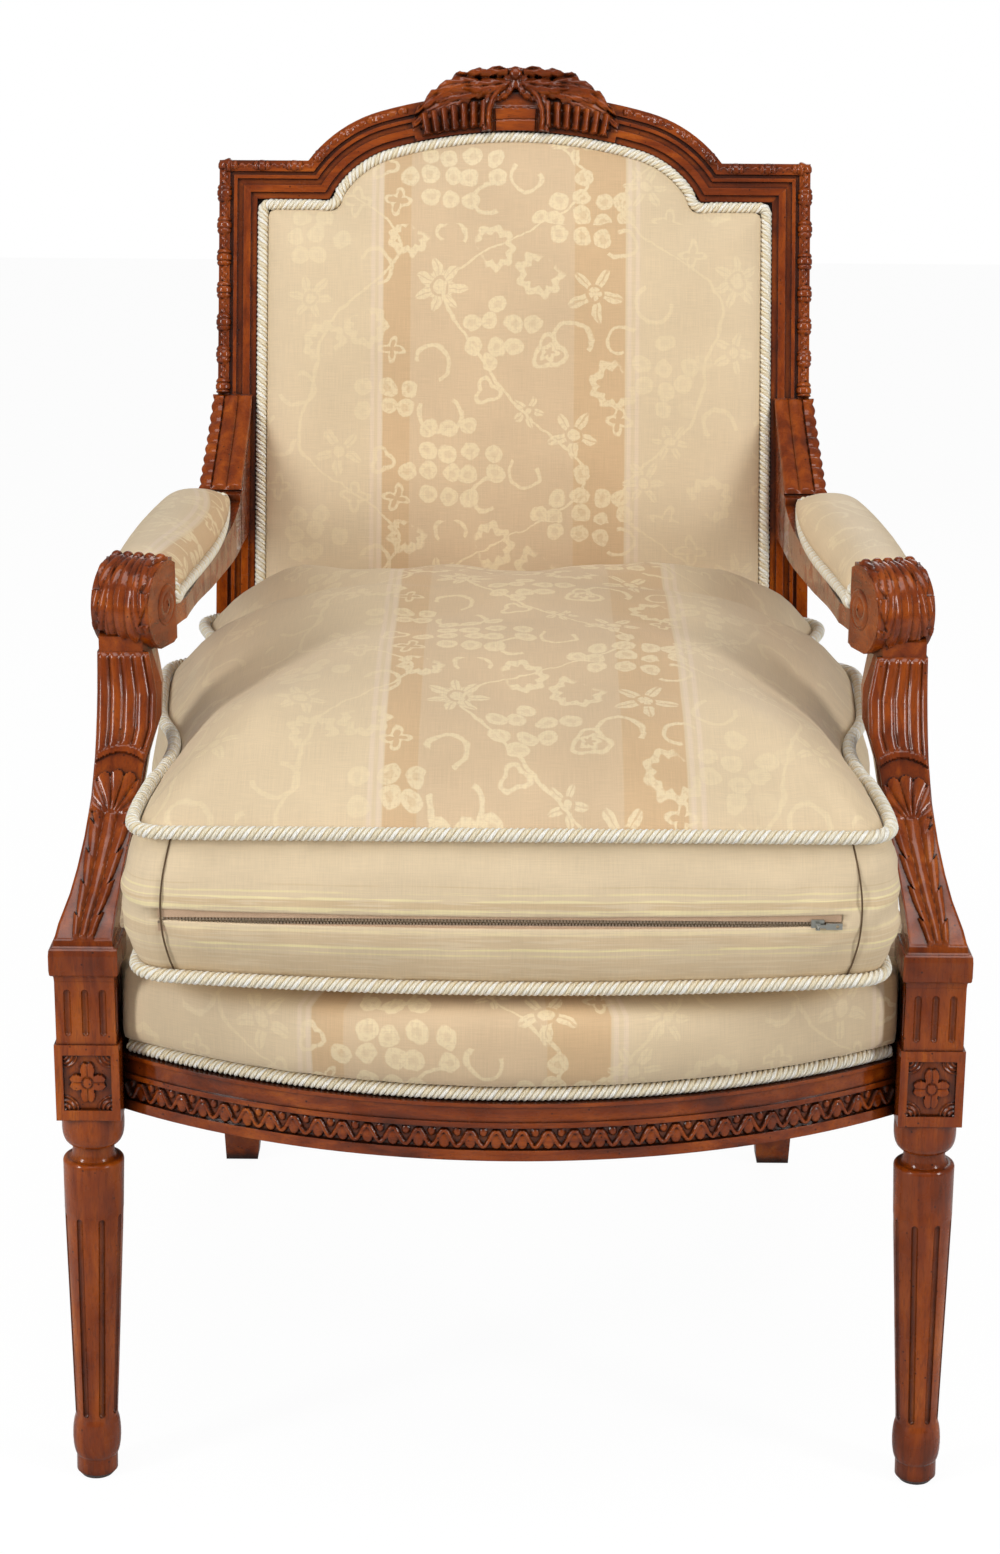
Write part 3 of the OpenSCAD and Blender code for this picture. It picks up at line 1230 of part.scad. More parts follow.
module zip_pull() color(steel) home() translate([slider_x + slider_len / 2, slider_y - lug_r, zip_z])
    difference() {
        union() {
            cylinder(pull_eye_h, pull_eye_r, pull_eye_r, center = true, $fn = 24);
            translate([0, -pull_t / 2, -pull_eye_h / 2]) cube([pull_len / 3, pull_t, pull_eye_h]);
            translate([pull_len / 3, -pull_t / 2, -pull_w / 2]) cube([pull_len * 2 / 3, pull_t, pull_w]);
        }
        cylinder(2 * pull_w, pin_r + pin_play, pin_r + pin_play, center = true, $fn = 24);
        translate([0.8 * pull_len, -pull_t, 0]) rotate([-90, 0, 0])
            cylinder(2 * pull_t, pull_eye_r, pull_eye_r, $fn = 24);
    }

front_leg_left();
front_leg_right();
post_cap_left();
post_cap_right();
back_post_left();
back_post_right();
crest_rail();
crest_carving();
back_bottom_rail();
front_rail();
side_rail_left();
side_rail_right();
rear_rail();
front_corner_blocks();
rear_corner_blocks();
block_screws();
seat_dowels();
back_dowels();
arm_support_left();
arm_support_right();
arm_left();
arm_right();
arm_dowels();
arm_pad_left();
arm_pad_right();
arm_pad_cord_left();
arm_pad_cord_right();
seat_webbing();
seat_hessian();
seat_stuffing();
seat_cover();
seat_cord();
bottom_cloth();
back_webbing();
back_stuffing();
back_cover();
back_cord();
outside_back_cloth();
outside_back_cord();
cushion_cover();
cushion_filling();
cushion_top_cord();
cushion_bottom_cord();
zip_tape();
zip_chain();
zip_slider();
zip_pull();
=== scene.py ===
import math

import bpy
from mathutils import Euler, Matrix, Vector, noise


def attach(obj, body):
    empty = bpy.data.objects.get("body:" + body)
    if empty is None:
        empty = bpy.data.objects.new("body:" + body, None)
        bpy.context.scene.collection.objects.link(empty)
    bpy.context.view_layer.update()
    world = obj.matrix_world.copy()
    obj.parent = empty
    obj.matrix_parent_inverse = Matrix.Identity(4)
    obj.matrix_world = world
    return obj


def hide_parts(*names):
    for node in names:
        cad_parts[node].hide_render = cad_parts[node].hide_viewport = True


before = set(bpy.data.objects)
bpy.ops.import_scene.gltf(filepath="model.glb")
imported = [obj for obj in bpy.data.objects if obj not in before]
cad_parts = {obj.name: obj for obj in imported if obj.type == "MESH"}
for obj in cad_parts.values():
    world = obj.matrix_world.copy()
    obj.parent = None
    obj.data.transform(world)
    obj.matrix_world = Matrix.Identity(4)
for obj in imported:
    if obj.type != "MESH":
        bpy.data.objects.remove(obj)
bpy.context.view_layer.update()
bpy.context.scene.view_settings.view_transform = "Standard"
print("frame loaded,", len(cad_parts), "nodes")

# The chair's own sizes, in millimetres: y starts at the front legs' axes and z at the floor
chair = {
    "midY": 295.89, "legX": 307, "backW": 523, "seatDepth": 486, "seatH": 438, "rake": 16.5,
    "backH": 521, "faceW": 33.5, "frameT": 34, "rebateD": 8, "archHalf": 183, "archRise": 61,
    "flankR": 121.5, "archTurn": 16, "ledgeZ": 343, "ledgeW": 12, "bow": 90, "blockW": 47,
    "cordR": 5, "fit": 0.3,
}
bothSides = ((-1, "Left"), (1, "Right"))
postX = chair["backW"] / 2
lean = math.tan(math.radians(chair["rake"]))
archTurn = math.radians(chair["archTurn"])
turnA = 2 * (1 - math.cos(archTurn))
turnB = chair["archHalf"] * math.sin(archTurn) + (chair["archRise"] - chair["flankR"]) * turnA / 2
turnC = chair["archHalf"] ** 2 + (chair["archRise"] - chair["flankR"]) ** 2 - chair["flankR"] ** 2
archR = chair["flankR"] + (turnB - math.sqrt(turnB ** 2 - turnA * turnC)) / turnA
archC = chair["backH"] + chair["archRise"] - archR
flankX = (archR - chair["flankR"]) * math.sin(archTurn)
flankZ = archC + (archR - chair["flankR"]) * math.cos(archTurn)
blockIn = chair["legX"] - chair["blockW"] / 2  # inner side of the front posts
bowR = (blockIn ** 2 + chair["bow"] ** 2) / (2 * chair["bow"])
bowY = bowR - chair["bow"]


# places and curves
def spot(x, y, z):
    return Vector((x, y - chair["midY"], z)) / 1000


def onBack(x, depth, slope):  # depth behind the moulded face, slope up the back from seat height
    a = math.radians(chair["rake"])
    return spot(x, chair["seatDepth"] + depth * math.cos(a) + slope * math.sin(a),
                chair["seatH"] - depth * math.sin(a) + slope * math.cos(a))


def onArc(cx, cz, r, turn):  # turn from straight up, in radians
    return cx + r * math.sin(turn), cz + r * math.cos(turn)


def onBow(r, turn):  # the front rail's bow from above, turn from straight ahead
    return r * math.sin(turn), bowY - r * math.cos(turn)


def wander(x, y, z):  # smooth noise, the same each run
    return noise.noise(Vector((x, y, z)))


def mix(a, b, t):
    return a + (b - a) * t


def smoothStep(low, high, value):
    t = min(1, max(0, (value - low) / (high - low)))
    return t * t * (3 - 2 * t)


def lookUp(table, value):  # straight lines between [place, value] pairs
    for (a, va), (b, vb) in zip(table, table[1:]):
        if value <= b:
            return mix(va, vb, max(0, (value - a) / (b - a)))
    return table[-1][1]


def bezier(a, b, c, d, t):
    return a * (1 - t) ** 3 + b * 3 * t * (1 - t) ** 2 + c * 3 * t * t * (1 - t) + d * t ** 3


def through(points, steps, closed=False):  # a smooth line through points
    points = [Vector(p) for p in points]
    n = len(points)
    line = []
    for i in range(n if closed else n - 1):
        near = [(i + k) % n if closed else min(max(i + k, 0), n - 1) for k in (-1, 0, 1, 2)]
        a, b, c, d = (points[k] for k in near)
        for k in range(steps):
            t = k / steps
            line.append(0.5 * (2 * b + (c - a) * t + (2 * a - 5 * b + 4 * c - d) * t * t
                               + (3 * b - a - 3 * c + d) * t ** 3))
    return line if closed else line + points[-1:]


def runs(line, closed=False):  # how far along the line each point lies, and its whole length last
    far = [0]
    for a, b in zip(line, line[1:] + (line[:1] if closed else [])):
        far.append(far[-1] + (b - a).length)
    return far


def evenly(line, gap, closed=False):  # the same line with even steps
    pts = line + (line[:1] if closed else [])
    far = runs(pts)
    count = max(2, round(far[-1] / gap))
    out, k = [], 0
    for i in range(count if closed else count + 1):
        want = far[-1] * i / count
        while k < len(pts) - 2 and far[k + 1] < want:
            k += 1
        span = far[k + 1] - far[k]
        out.append(pts[k].lerp(pts[k + 1], (want - far[k]) / span if span > 0 else 0))
    return out


def drawnIn(loop, middle, share):
    return [p.lerp(middle, share) for p in loop]


# meshes
def finishPiece(obj, body, material):
    obj.data.materials.clear()
    obj.data.materials.append(material)
    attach(obj, body)
    return obj


def meshPiece(name, shape, body, material, smooth=True):  # shape: points, faces, cloth coordinates
    points, faces, uvs = shape
    mesh = bpy.data.meshes.new(name)
    mesh.from_pydata(points, [], faces)
    if uvs:
        layer = mesh.uv_layers.new(name="cloth")
        layer.data.foreach_set("uv", [c for face in uvs for uv in face for c in uv])
    mesh.polygons.foreach_set("use_smooth", [smooth] * len(mesh.polygons))
    mesh.update()
    obj = bpy.data.objects.new(name, mesh)
    bpy.context.collection.objects.link(obj)
    return finishPiece(obj, body, material)


def skin(rows, uvRows, capLow=False, capHigh=False, flip=False):
    # faces and cloth coordinates over closed rows of points; uvRows has one more column than they have
    n = len(rows[0])
    points = [p for row in rows for p in row]
    faces, uvs = [], []
    for i in range(len(rows) - 1):
        for k in range(n):
            j = (k + 1) % n
            faces.append((i * n + k, i * n + j, (i + 1) * n + j, (i + 1) * n + k))
            uvs.append((uvRows[i][k], uvRows[i][k + 1], uvRows[i + 1][k + 1], uvRows[i + 1][k]))
    for cap, row, turn in ((capLow, 0, True), (capHigh, len(rows) - 1, False)):
        if cap:
            mid = sum(rows[row], Vector()) / n
            midUv = [sum(uv[c] for uv in uvRows[row][:n]) / n for c in (0, 1)]
            points.append(mid)
            for k in range(n):
                j = (k + 1) % n
                face = (row * n + k, row * n + j, len(points) - 1)
                faceUv = (uvRows[row][k], uvRows[row][k + 1], midUv)
                faces.append(face[::-1] if turn else face)
                uvs.append(faceUv[::-1] if turn else faceUv)
    if flip:
        faces, uvs = [f[::-1] for f in faces], [u[::-1] for u in uvs]
    return points, faces, uvs


def carried(line, first, closed=False):  # tangent, side and normal along a line, without twist
    n = len(line)
    frames, side = [], Vector(first)
    for i in range(n):
        a = line[(i - 1) % n] if closed or i > 0 else line[i]
        b = line[(i + 1) % n] if closed or i < n - 1 else line[i]
        tangent = (b - a).normalized()
        side = (side - tangent * side.dot(tangent)).normalized()
        frames.append((tangent, side, tangent.cross(side)))
    return frames


# Twisted cord: strands wound round each other along a route in metres
cordSet = {
    "strands": 4, "lead": 17.0, "steps": 12, "sides": 6,
    "centre": 0.5, "thick": 0.54,  # shares of the cord's radius
    "tones": [
        (0.0, (255, 253, 244)), (0.34, (251, 245, 226)), (0.67, (254, 251, 238)), (1.0, (245, 234, 206))],
    # groove is painted shade in the valleys between the yarns
    "gold": (212, 182, 118), "fleck": (208, 182, 124), "groove": (190, 168, 124),
}


def twistedCord(name, route, body, radius=5.0, lead=cordSet["lead"], closed=True, first=(0, 0, 1)):
    line = evenly(route, lead / cordSet["steps"] / 1000, closed)
    frames = carried(line, first, closed)
    n, sides, strands = len(line), cordSet["sides"], cordSet["strands"]
    length = runs(line, closed)[-1] * 1000
    turns = round(length / lead) if closed else length / lead
    drift = 0
    if closed:  # what the side vector has turned after one round is taken up in the twist
        tangent, side, normal = frames[0]
        last = frames[-1][1]
        back = (last - tangent * last.dot(tangent)).normalized()
        drift = math.atan2(back.dot(normal), back.dot(side))
    centre, thick = radius * cordSet["centre"] / 1000, radius * cordSet["thick"] / 1000
    points, faces, uvs, tones = [], [], [], []
    for s in range(strands):
        base = len(points)
        for i, (tangent, side, normal) in enumerate(frames):
            t = i / n if closed else i / (n - 1)
            a = -2 * math.pi * (turns * t + s / strands) - drift * t
            out = side * math.cos(a) + normal * math.sin(a)
            across = tangent.cross(out)
            mid = line[i] + out * centre
            for k in range(sides):
                b = 2 * math.pi * k / sides
                points.append(mid + (out * math.cos(b) + across * math.sin(b)) * thick)
        for i in range(n if closed else n - 1):
            low, high = base + i * sides, base + (i + 1) % n * sides
            u0, u1 = turns * i / n, turns * (i + 1) / n
            for k in range(sides):
                m = (k + 1) % sides
                faces.append((low + k, low + m, high + m, high + k))
                uvs.append(((u0, k / sides), (u0, (k + 1) / sides), (u1, (k + 1) / sides), (u1, k / sides)))
        if not closed:
            stop = base + (n - 1) * sides
            faces += [tuple(range(base, base + sides))[::-1], tuple(range(stop, stop + sides))]
            uvs += [((0, 0),) * sides] * 2
        tones += [s / (strands - 1)] * (n * sides)
    cord = meshPiece(name, (points, faces, uvs), body, cordMaterial)
    tone = cord.data.attributes.new("strand", "FLOAT", "POINT")
    tone.data.foreach_set("value", tones)
    print(name, round(length), "mm long,", 2 * radius, "mm thick")
    return cord


# shader maths
def tint(r, g, b):  # screen colour to linear
    return tuple(((c / 255 + 0.055) / 1.055) ** 2.4 if c > 10 else c / 255 / 12.92 for c in (r, g, b)) + (1,)


class Value:
    def __init__(self, tree, socket):
        self.tree = tree
        self.socket = socket

    def maths(self, operation, *others, first=None):
        node = self.tree.nodes.new("ShaderNodeMath")
        node.operation = operation
        values = (self,) + others if first is None else (first, self) + others
        for slot, value in zip(node.inputs, values):
            if isinstance(value, Value):
                self.tree.links.new(value.socket, slot)
            else:
                slot.default_value = value
        return Value(self.tree, node.outputs[0])

    def __add__(self, other): return self.maths("ADD", other)
    def __radd__(self, other): return self.maths("ADD", other)
    def __sub__(self, other): return self.maths("SUBTRACT", other)
    def __rsub__(self, other): return self.maths("SUBTRACT", first=other)
    def __mul__(self, other): return self.maths("MULTIPLY", other)
    def __rmul__(self, other): return self.maths("MULTIPLY", other)
    def __truediv__(self, other): return self.maths("DIVIDE", other)
    def __mod__(self, other): return self.maths("FLOORED_MODULO", other)
    def __abs__(self): return self.maths("ABSOLUTE")
    def sin(self): return self.maths("SINE")
    def cos(self): return self.maths("COSINE")
    def root(self): return self.maths("SQRT")
    def most(self, other): return self.maths("MAXIMUM", other)
    def angle(self, other): return self.maths("ARCTAN2", other)

    def above(self, edge, soft):  # 0 to 1 across an edge
        node = self.tree.nodes.new("ShaderNodeMapRange")
        node.interpolation_type = "SMOOTHSTEP"
        self.tree.links.new(self.socket, node.inputs["Value"])
        node.inputs["From Min"].default_value = edge - soft
        node.inputs["From Max"].default_value = edge + soft
        return Value(self.tree, node.outputs["Result"])

    def within(self, low, high, soft):
        return self.above(low, soft) - self.above(high, soft)


class Finish:  # one material and what feeds its shader
    def __init__(self, name, **constants):
        self.material = bpy.data.materials.new(name)
        self.material.use_nodes = True
        self.tree = self.material.node_tree
        self.shader = self.tree.nodes["Principled BSDF"]
        for socket, value in constants.items():
            self.shader.inputs[socket.replace("_", " ")].default_value = value

    def node(self, kind, settings=None, output=0, **values):
        node = self.tree.nodes.new("ShaderNode" + kind)
        for key, value in (settings or {}).items():
            if key == "stops":
                ramp = node.color_ramp
                while len(ramp.elements) < len(value):
                    ramp.elements.new(0.5)
                for element, (place, colour) in zip(ramp.elements, value):
                    element.position = place
                    element.color = tint(*colour)
            else:
                setattr(node, key, value)
        for key, value in values.items():
            byNumber = key[0] == "i" and key[1:].isdigit()
            socket = node.inputs[int(key[1:]) if byNumber else key.replace("_", " ")]
            if isinstance(value, Value):
                self.tree.links.new(value.socket, socket)
            else:
                socket.default_value = value
        return Value(self.tree, node.outputs[output])

    def split(self, vector):
        node = self.tree.nodes.new("ShaderNodeSeparateXYZ")
        self.tree.links.new(vector.socket, node.inputs[0])
        return [Value(self.tree, out) for out in node.outputs]

    def place(self, uv=None):  # in millimetres, on a map or in the object
        vector = self.node("UVMap", {"uv_map": uv}) if uv else self.node("TexCoord", output=3)
        return self.node("VectorMath", {"operation": "SCALE"}, i0=vector, Scale=1000.0)

    def clouds(self, vector, scale, detail, stretch=None, dims="2D", output=0):
        if stretch:
            vector = self.node("Mapping", Vector=vector, Scale=stretch)
        settings = {"noise_dimensions": dims}
        return self.node("TexNoise", settings, output, Vector=vector, Scale=scale, Detail=detail)

    def colour(self, factor, a, b, blend="MIX"):  # a and b are values or screen colours
        a, b = (c if isinstance(c, Value) else tint(*c) for c in (a, b))
        return self.node("Mix", {"data_type": "RGBA", "blend_type": blend}, output=2, i0=factor, i6=a, i7=b)

    def shaded(self, colour, tone):
        grey = self.node("CombineColor", Red=tone, Green=tone, Blue=tone)
        return self.colour(1.0, colour, grey, "MULTIPLY")

    def feed(self, **sockets):
        for key, value in sockets.items():
            self.tree.links.new(value.socket, self.shader.inputs[key.replace("_", " ")])

    def bump(self, height, strength, distance, **under):
        return self.node("Bump", Strength=strength, Distance=distance, Height=height, **under)


# Damask: stripes along the cloth, and flowers, fruit and stems woven over them, all in millimetres
damaskSet = {
    "repeatU": 430, "repeatV": 262, "wobble": 8.0, "berry": 19,
    "stems": [  # middle, reach, phase, half width
        (0, 58, 0.4, 1.7), (-150, 40, 2.2, 1.6), (150, 40, 4.1, 1.6)],
    "curls": [  # x, y, radius, start, half width
        (52, 160, 20, 0.5, 2.0), (-58, 96, 22, 3.4, 2.0), (-120, 226, 18, 1.5, 1.8), (128, 190, 20, 4.2, 1.8),
        (98, 246, 15, 2.4, 1.6), (-20, 20, 17, 5.2, 1.8), (182, 84, 18, 0.2, 1.8), (-186, 118, 18, 2.8, 1.8),
        (-70, 140, 19, 1.2, 1.9), (15, 42, 16, 3.9, 1.7), (98, 158, 15, 5.6, 1.6), (-202, 72, 20, 4.4, 1.8),
        (-54, 252, 15, 0.4, 1.7)],
    "flowers": [  # x, y, radius, petals, depth between them, turn
        (74, 200, 25, 5, 0.42, 0.9), (-62, 206, 24, 7, 0.25, 0.4), (118, 34, 20, 6, 0.34, 0),
        (-150, 60, 22, 5, 0.4, 2.0), (-176, 196, 20, 6, 0.3, 1.1), (196, 150, 19, 5, 0.38, 0.2),
        (16, 96, 15, 5, 0.36, 0.5), (56, 76, 22, 5, 0.36, 1.6), (200, 212, 23, 7, 0.28, 0.9),
        (142, 70, 17, 6, 0.34, 0.5)],
    "buds": [
        (-104, 150, 11, 4, 0.3, 0.4), (34, 148, 15, 3, 0.16, 1.2), (34, 148, 7, 5, 0.16, 0),
        (-100, 20, 11, 4, 0.3, 0.8), (160, 236, 12, 4, 0.3, 0.1), (96, 88, 11, 4, 0.28, 0.6),
        (-204, 30, 11, 4, 0.3, 0.2), (-20, 114, 12, 3, 0.2, 0.7), (138, 0, 13, 4, 0.3, 1.1),
        (-136, 20, 12, 4, 0.26, 0.2), (-112, 52, 11, 3, 0.2, 0.4)],
    "wreaths": [  # x, y, radius, way of the opening
        (92, 120, 20, 0.6), (-16, 240, 18, 3.4), (-128, 172, 17, 2.0), (176, 20, 18, 4.0), (-90, 250, 15, 1.0),
        (26, 218, 19, 0.9), (-164, 156, 16, 5.1)],
    "clusters": [  # x, y, half width, half height
        (-50, 52, 44, 36), (64, 12, 40, 30), (64, 274, 40, 30), (-14, 166, 36, 28), (140, 128, 34, 32),
        (-176, 250, 30, 34), (-176, -12, 30, 34), (-110, 106, 28, 24)],
    "centreBand": [(127, 271)], "tanBands": [(103, 127), (271, 316)],
    "lineBands": [(92, 95.5), (98.5, 102), (318, 321.5), (325, 328.5)],
    "cream": (219, 196, 160), "centre": (213, 185, 148), "tan": (209, 176, 134), "line": (224, 201, 172),
    "motif": (234, 214, 173),
}


def damaskPattern(finish, vector):
    look = damaskSet
    wide, tall = look["repeatU"], look["repeatV"]
    u, v = finish.split(vector)[:2]
    blurX, blurY = finish.split(finish.clouds(vector, 0.05, 3.0, output=1))[:2]
    x = (u + (blurX - 0.5) * look["wobble"] + wide / 2) % wide - wide / 2
    y = (v + (blurY - 0.5) * look["wobble"]) % tall

    def reach(cx, cy):
        dx, dy = x - cx, y - cy
        return dx, dy, (dx * dx + dy * dy).root()

    def petals(cx, cy, size, count, deep, turn=0.0):  # how far a point lies outside the petals, last
        dx, dy, r = reach(cx, cy)
        edge = size * (1 - deep) + (dy.angle(dx) * count + turn).cos() * (size * deep)
        return dx, dy, r, r - edge

    masks = []
    wave = y * (2 * math.pi / tall)
    for middle, swing, phase, half in look["stems"]:
        stem = abs(x - (middle + (wave + phase).sin() * swing + (wave * 2 + phase).sin() * 14))
        masks.append(1 - stem.above(half, 0.7))
    for cx, cy, size, start, half in look["curls"]:
        dx, dy, r = reach(cx, cy)
        turned = (dy.angle(dx) + (start + 2 * math.pi)) % (2 * math.pi)
        spiral = r - size * (1 - turned * 0.09)
        masks.append((1 - abs(spiral).above(half, 0.7)) * (1 - turned.above(4.3, 0.1)))
    for cx, cy, size, count, deep, turn in look["flowers"]:
        dx, dy, r, edge = petals(cx, cy, size, count, deep, turn)
        veins = (dy.angle(dx) * (count * 3) + turn * 3).cos().above(0.75, 0.15) * r.above(size * 0.36, 1) * 0.7
        ring = 1 - abs(r - size * 0.3).above(1.3, 0.6)
        masks.append((1 - edge.above(0, 1.0)) * (1 - ring) * (1 - veins))
    for bud in look["buds"]:
        masks.append(1 - abs(petals(*bud)[3]).above(1.9, 0.8))
    for cx, cy, size, way in look["wreaths"]:
        dx, dy, r, edge = petals(cx, cy, size, 9, 0.1)
        opening = (dx * math.cos(way) + dy * math.sin(way)).above(size * 0.62, 2)
        masks.append((1 - abs(edge).above(3.6, 0.9)) * (1 - opening))
    flat = {"voronoi_dimensions": "2D"}
    place = finish.node("CombineXYZ", X=x, Y=y, Z=0.0)
    cells = {"Vector": place, "Scale": 1 / look["berry"], "Randomness": 0.4}
    nearest = finish.node("TexVoronoi", flat, **cells) * look["berry"]
    berry = (1 - nearest.above(7.9, 0.7)) * (0.55 + nearest.above(3.2, 0.9) * 0.45)
    seedX, seedY = finish.split(finish.node("TexVoronoi", flat, output=2, **cells))[:2]
    for cx, cy, halfX, halfY in look["clusters"]:
        dx, dy = (seedX - cx) / halfX, (seedY - cy) / halfY
        masks.append(berry * (1 - (dx * dx + dy * dy).above(1, 0.05)))
    motif = masks[0]
    for other in masks[1:]:
        motif = motif.most(other)
    motif = motif * (0.62 + finish.clouds(vector, 0.35, 2.0).above(0.42, 0.1) * 0.38)

    across = (u + wide / 2) % wide
    centre, tan, line = (sum(across.within(low, high, soft) for low, high in look[name])
                         for name, soft in (("centreBand", 0.8), ("tanBands", 0.8), ("lineBands", 0.7)))
    ground = finish.colour(centre, look["cream"], look["centre"])
    ground = finish.colour(tan, ground, look["tan"])
    ground = finish.colour(line, ground, look["line"])
    return ground, motif * (0.6 + (centre + tan) * 0.4)  # fainter on the plain stripes


def damask():
    finish = Finish("damask", Roughness=0.52, Sheen_Weight=0.15, Sheen_Roughness=0.45)
    vector = finish.place("cloth")
    u, v = finish.split(vector)[:2]
    ground, motif = damaskPattern(finish, vector)
    # slubs along and across, and a slow change of tone where the silk has aged
    slub = finish.clouds(vector, 1.0, 2.0, (0.06, 1.6, 1))
    warp = finish.clouds(vector, 1.0, 2.0, (1.6, 0.04, 1))
    aged = finish.clouds(vector, 0.011, 3.0)
    shade = (slub - 0.5) * 0.16 + (warp - 0.5) * 0.16 + (aged - 0.5) * 0.22 + 1.0
    weave = (u * 5.2).sin() * (v * 5.2).sin() * 0.3 + slub + motif * 0.5
    finish.feed(Base_Color=finish.shaded(finish.colour(motif * 0.8, ground, damaskSet["motif"]), shade),
                Roughness=0.6 - motif * 0.16 + (slub - 0.5) * 0.1, Normal=finish.bump(weave, 0.25, 0.0004))
    return finish.material


def cordSilk():
    finish = Finish("cordSilk", Roughness=0.5, Sheen_Weight=0.2)
    strand = finish.node("Attribute", {"attribute_name": "strand"}, output=2)
    along, around = finish.split(finish.node("UVMap", {"uv_map": "cloth"}))[:2]
    yarns = ((around * 4 + along * 3) * (2 * math.pi)).sin()
    colour = finish.node("ValToRGB", {"stops": cordSet["tones"]}, Fac=strand)
    colour = finish.colour(yarns.above(0.82, 0.12) * strand.above(0.2, 0.1) * 0.45, colour, cordSet["fleck"])
    colour = finish.colour(around.within(0.15, 0.3, 0.03) * 0.6, colour, cordSet["gold"])
    # painted shade where the yarns' bump is lowest
    colour = finish.colour((yarns * -1).above(0.8, 0.2) * 0.28, colour, cordSet["groove"])
    finish.feed(Base_Color=colour, Normal=finish.bump(yarns, 0.6, 0.0004))
    return finish.material


# Striped cloth of the cushion's boxing, with painted shade over its lower part
boxingSet = {
    "base": (221, 199, 164),
    "stripesAndShade": [  # from and to above the zip's line, tone, share
        (6.2, 9.6, (236, 219, 170), 0.9), (9.6, 15, (207, 178, 134), 0.6), (15, 17, (238, 222, 172), 0.9),
        (20, 21.4, (236, 220, 168), 0.7), (25, 26.2, (208, 182, 140), 0.5),
        (-9.4, -6.2, (232, 212, 168), 0.8), (-19, -9.4, (206, 176, 134), 0.4),
        (-21, -19, (238, 222, 168), 0.9), (-25.4, -24, (234, 217, 164), 0.7),
        # the wide last band is painted shade, darkening the lower boxing
        (-60, -27, (208, 180, 140), 0.45)],
}


def boxingCloth():
    finish = Finish("boxingCloth", Roughness=0.7, Sheen_Weight=0.1)
    vector = finish.place("cloth")
    v = finish.split(vector)[1]
    slub = finish.clouds(vector, 1.0, 3.0, (0.05, 1.2, 1))
    warp = finish.clouds(vector, 1.0, 3.0, (1.2, 0.06, 1))
    aged = finish.clouds(vector, 0.012, 3.0)
    waver = finish.clouds(vector, 1.0, 2.0, (0.02, 0.5, 1)).above(0.44, 0.08)
    colour = boxingSet["base"]
    # woven stripes, and painted shade low on the boxing
    for low, high, tone, share in boxingSet["stripesAndShade"]:
        colour = finish.colour(v.within(low, high, 0.5) * waver * share, colour, tone)
    shade = (slub - 0.5) * 0.14 + (warp - 0.5) * 0.14 + (aged - 0.5) * 0.24 + 1.0
    finish.feed(Base_Color=finish.shaded(colour, shade), Normal=finish.bump(slub + warp, 0.2, 0.0004))
    return finish.material


# Walnut: figure along the timber, darker in the carving's hollows with patina and painted shade, under varnish
walnutSet = {
    "stops": [(0.24, (70, 25, 3)), (0.44, (124, 50, 7)), (0.6, (154, 70, 11)), (0.8, (188, 100, 24))],
    # the hollows' colour is patina there together with painted shade
    "pore": (70, 30, 10), "patinaAndShade": (34, 13, 5), "speck": (34, 14, 8),
    "rough": 0.24, "varnish": 0.62, "shadeReach": 0.012, "worn": 0.0011,
}


def walnut(name, stretch):
    w = walnutSet
    finish = Finish(name, Coat_Roughness=0.07, IOR=1.5, Specular_IOR_Level=0.15)
    vector = finish.place()
    long = finish.node("Mapping", Vector=vector, Scale=stretch)
    figure = finish.node("TexNoise", Vector=long, Scale=0.09, Detail=5.0, Distortion=0.6)
    pores = finish.clouds(long, 0.9, 3.0, dims="3D")
    cloudy = finish.clouds(vector, 0.014, 3.0, dims="3D")
    scuff = finish.clouds(vector, 0.05, 4.0, dims="3D")
    specks = finish.node("TexVoronoi", Vector=vector, Scale=0.11, Randomness=1.0)
    # ambient occlusion paints shade into hollows and creases, and stands also for their patina
    patinaAndShade = finish.node("AmbientOcclusion", {"samples": 6}, output=1, Distance=w["shadeReach"])
    colour = finish.node("ValToRGB", {"stops": w["stops"]}, Fac=figure * 0.7 + cloudy * 0.5 - 0.1)
    colour = finish.colour((1 - pores.above(0.42, 0.06)) * 0.3, colour, w["pore"])
    colour = finish.colour((1 - patinaAndShade.above(0.68, 0.3)) * 0.93, colour, w["patinaAndShade"])
    colour = finish.colour((1 - specks.above(0.085, 0.03)) * 0.8, colour, w["speck"])
    dents = pores * 0.4 + scuff - specks.above(0.08, 0.03) * 0.3
    edge = finish.node("Bevel", {"samples": 4}, Radius=w["worn"])
    finish.feed(Base_Color=colour, Roughness=w["rough"] + scuff.above(0.58, 0.12) * 0.14,
                Coat_Weight=w["varnish"] - scuff.above(0.55, 0.15) * 0.24,
                Normal=finish.bump(dents, 0.16, 0.0006, Normal=edge))
    return finish.material


clothMaterial = damask()
boxingMaterial = boxingCloth()
cordMaterial = cordSilk()
walnutUp = walnut("walnutUpright", (1, 1, 0.12))
walnutAcross = walnut("walnutAcross", (0.12, 1, 1))
walnutDeep = walnut("walnutDeep", (1, 0.12, 1))
print("materials made")


# the back frame's outline and the panel inside it, as [x, slope] points in the plane of the back
def frameLine(u, low):  # u inside the frame's outer edge, from bottom left to the top of the arch
    r = chair["flankR"] - u
    x, top = postX - u, chair["backH"] - u
    turn = math.acos((top - flankZ) / r)
    half = [(x, low), (x, top)]
    half += [onArc(flankX, flankZ, r, mix(turn, archTurn, i / 14)) for i in range(15)]
    half += [onArc(0, archC, archR - u, archTurn * (1 - i / 14)) for i in range(1, 15)]
    return [Vector((-px, pz, 0)) for px, pz in half]


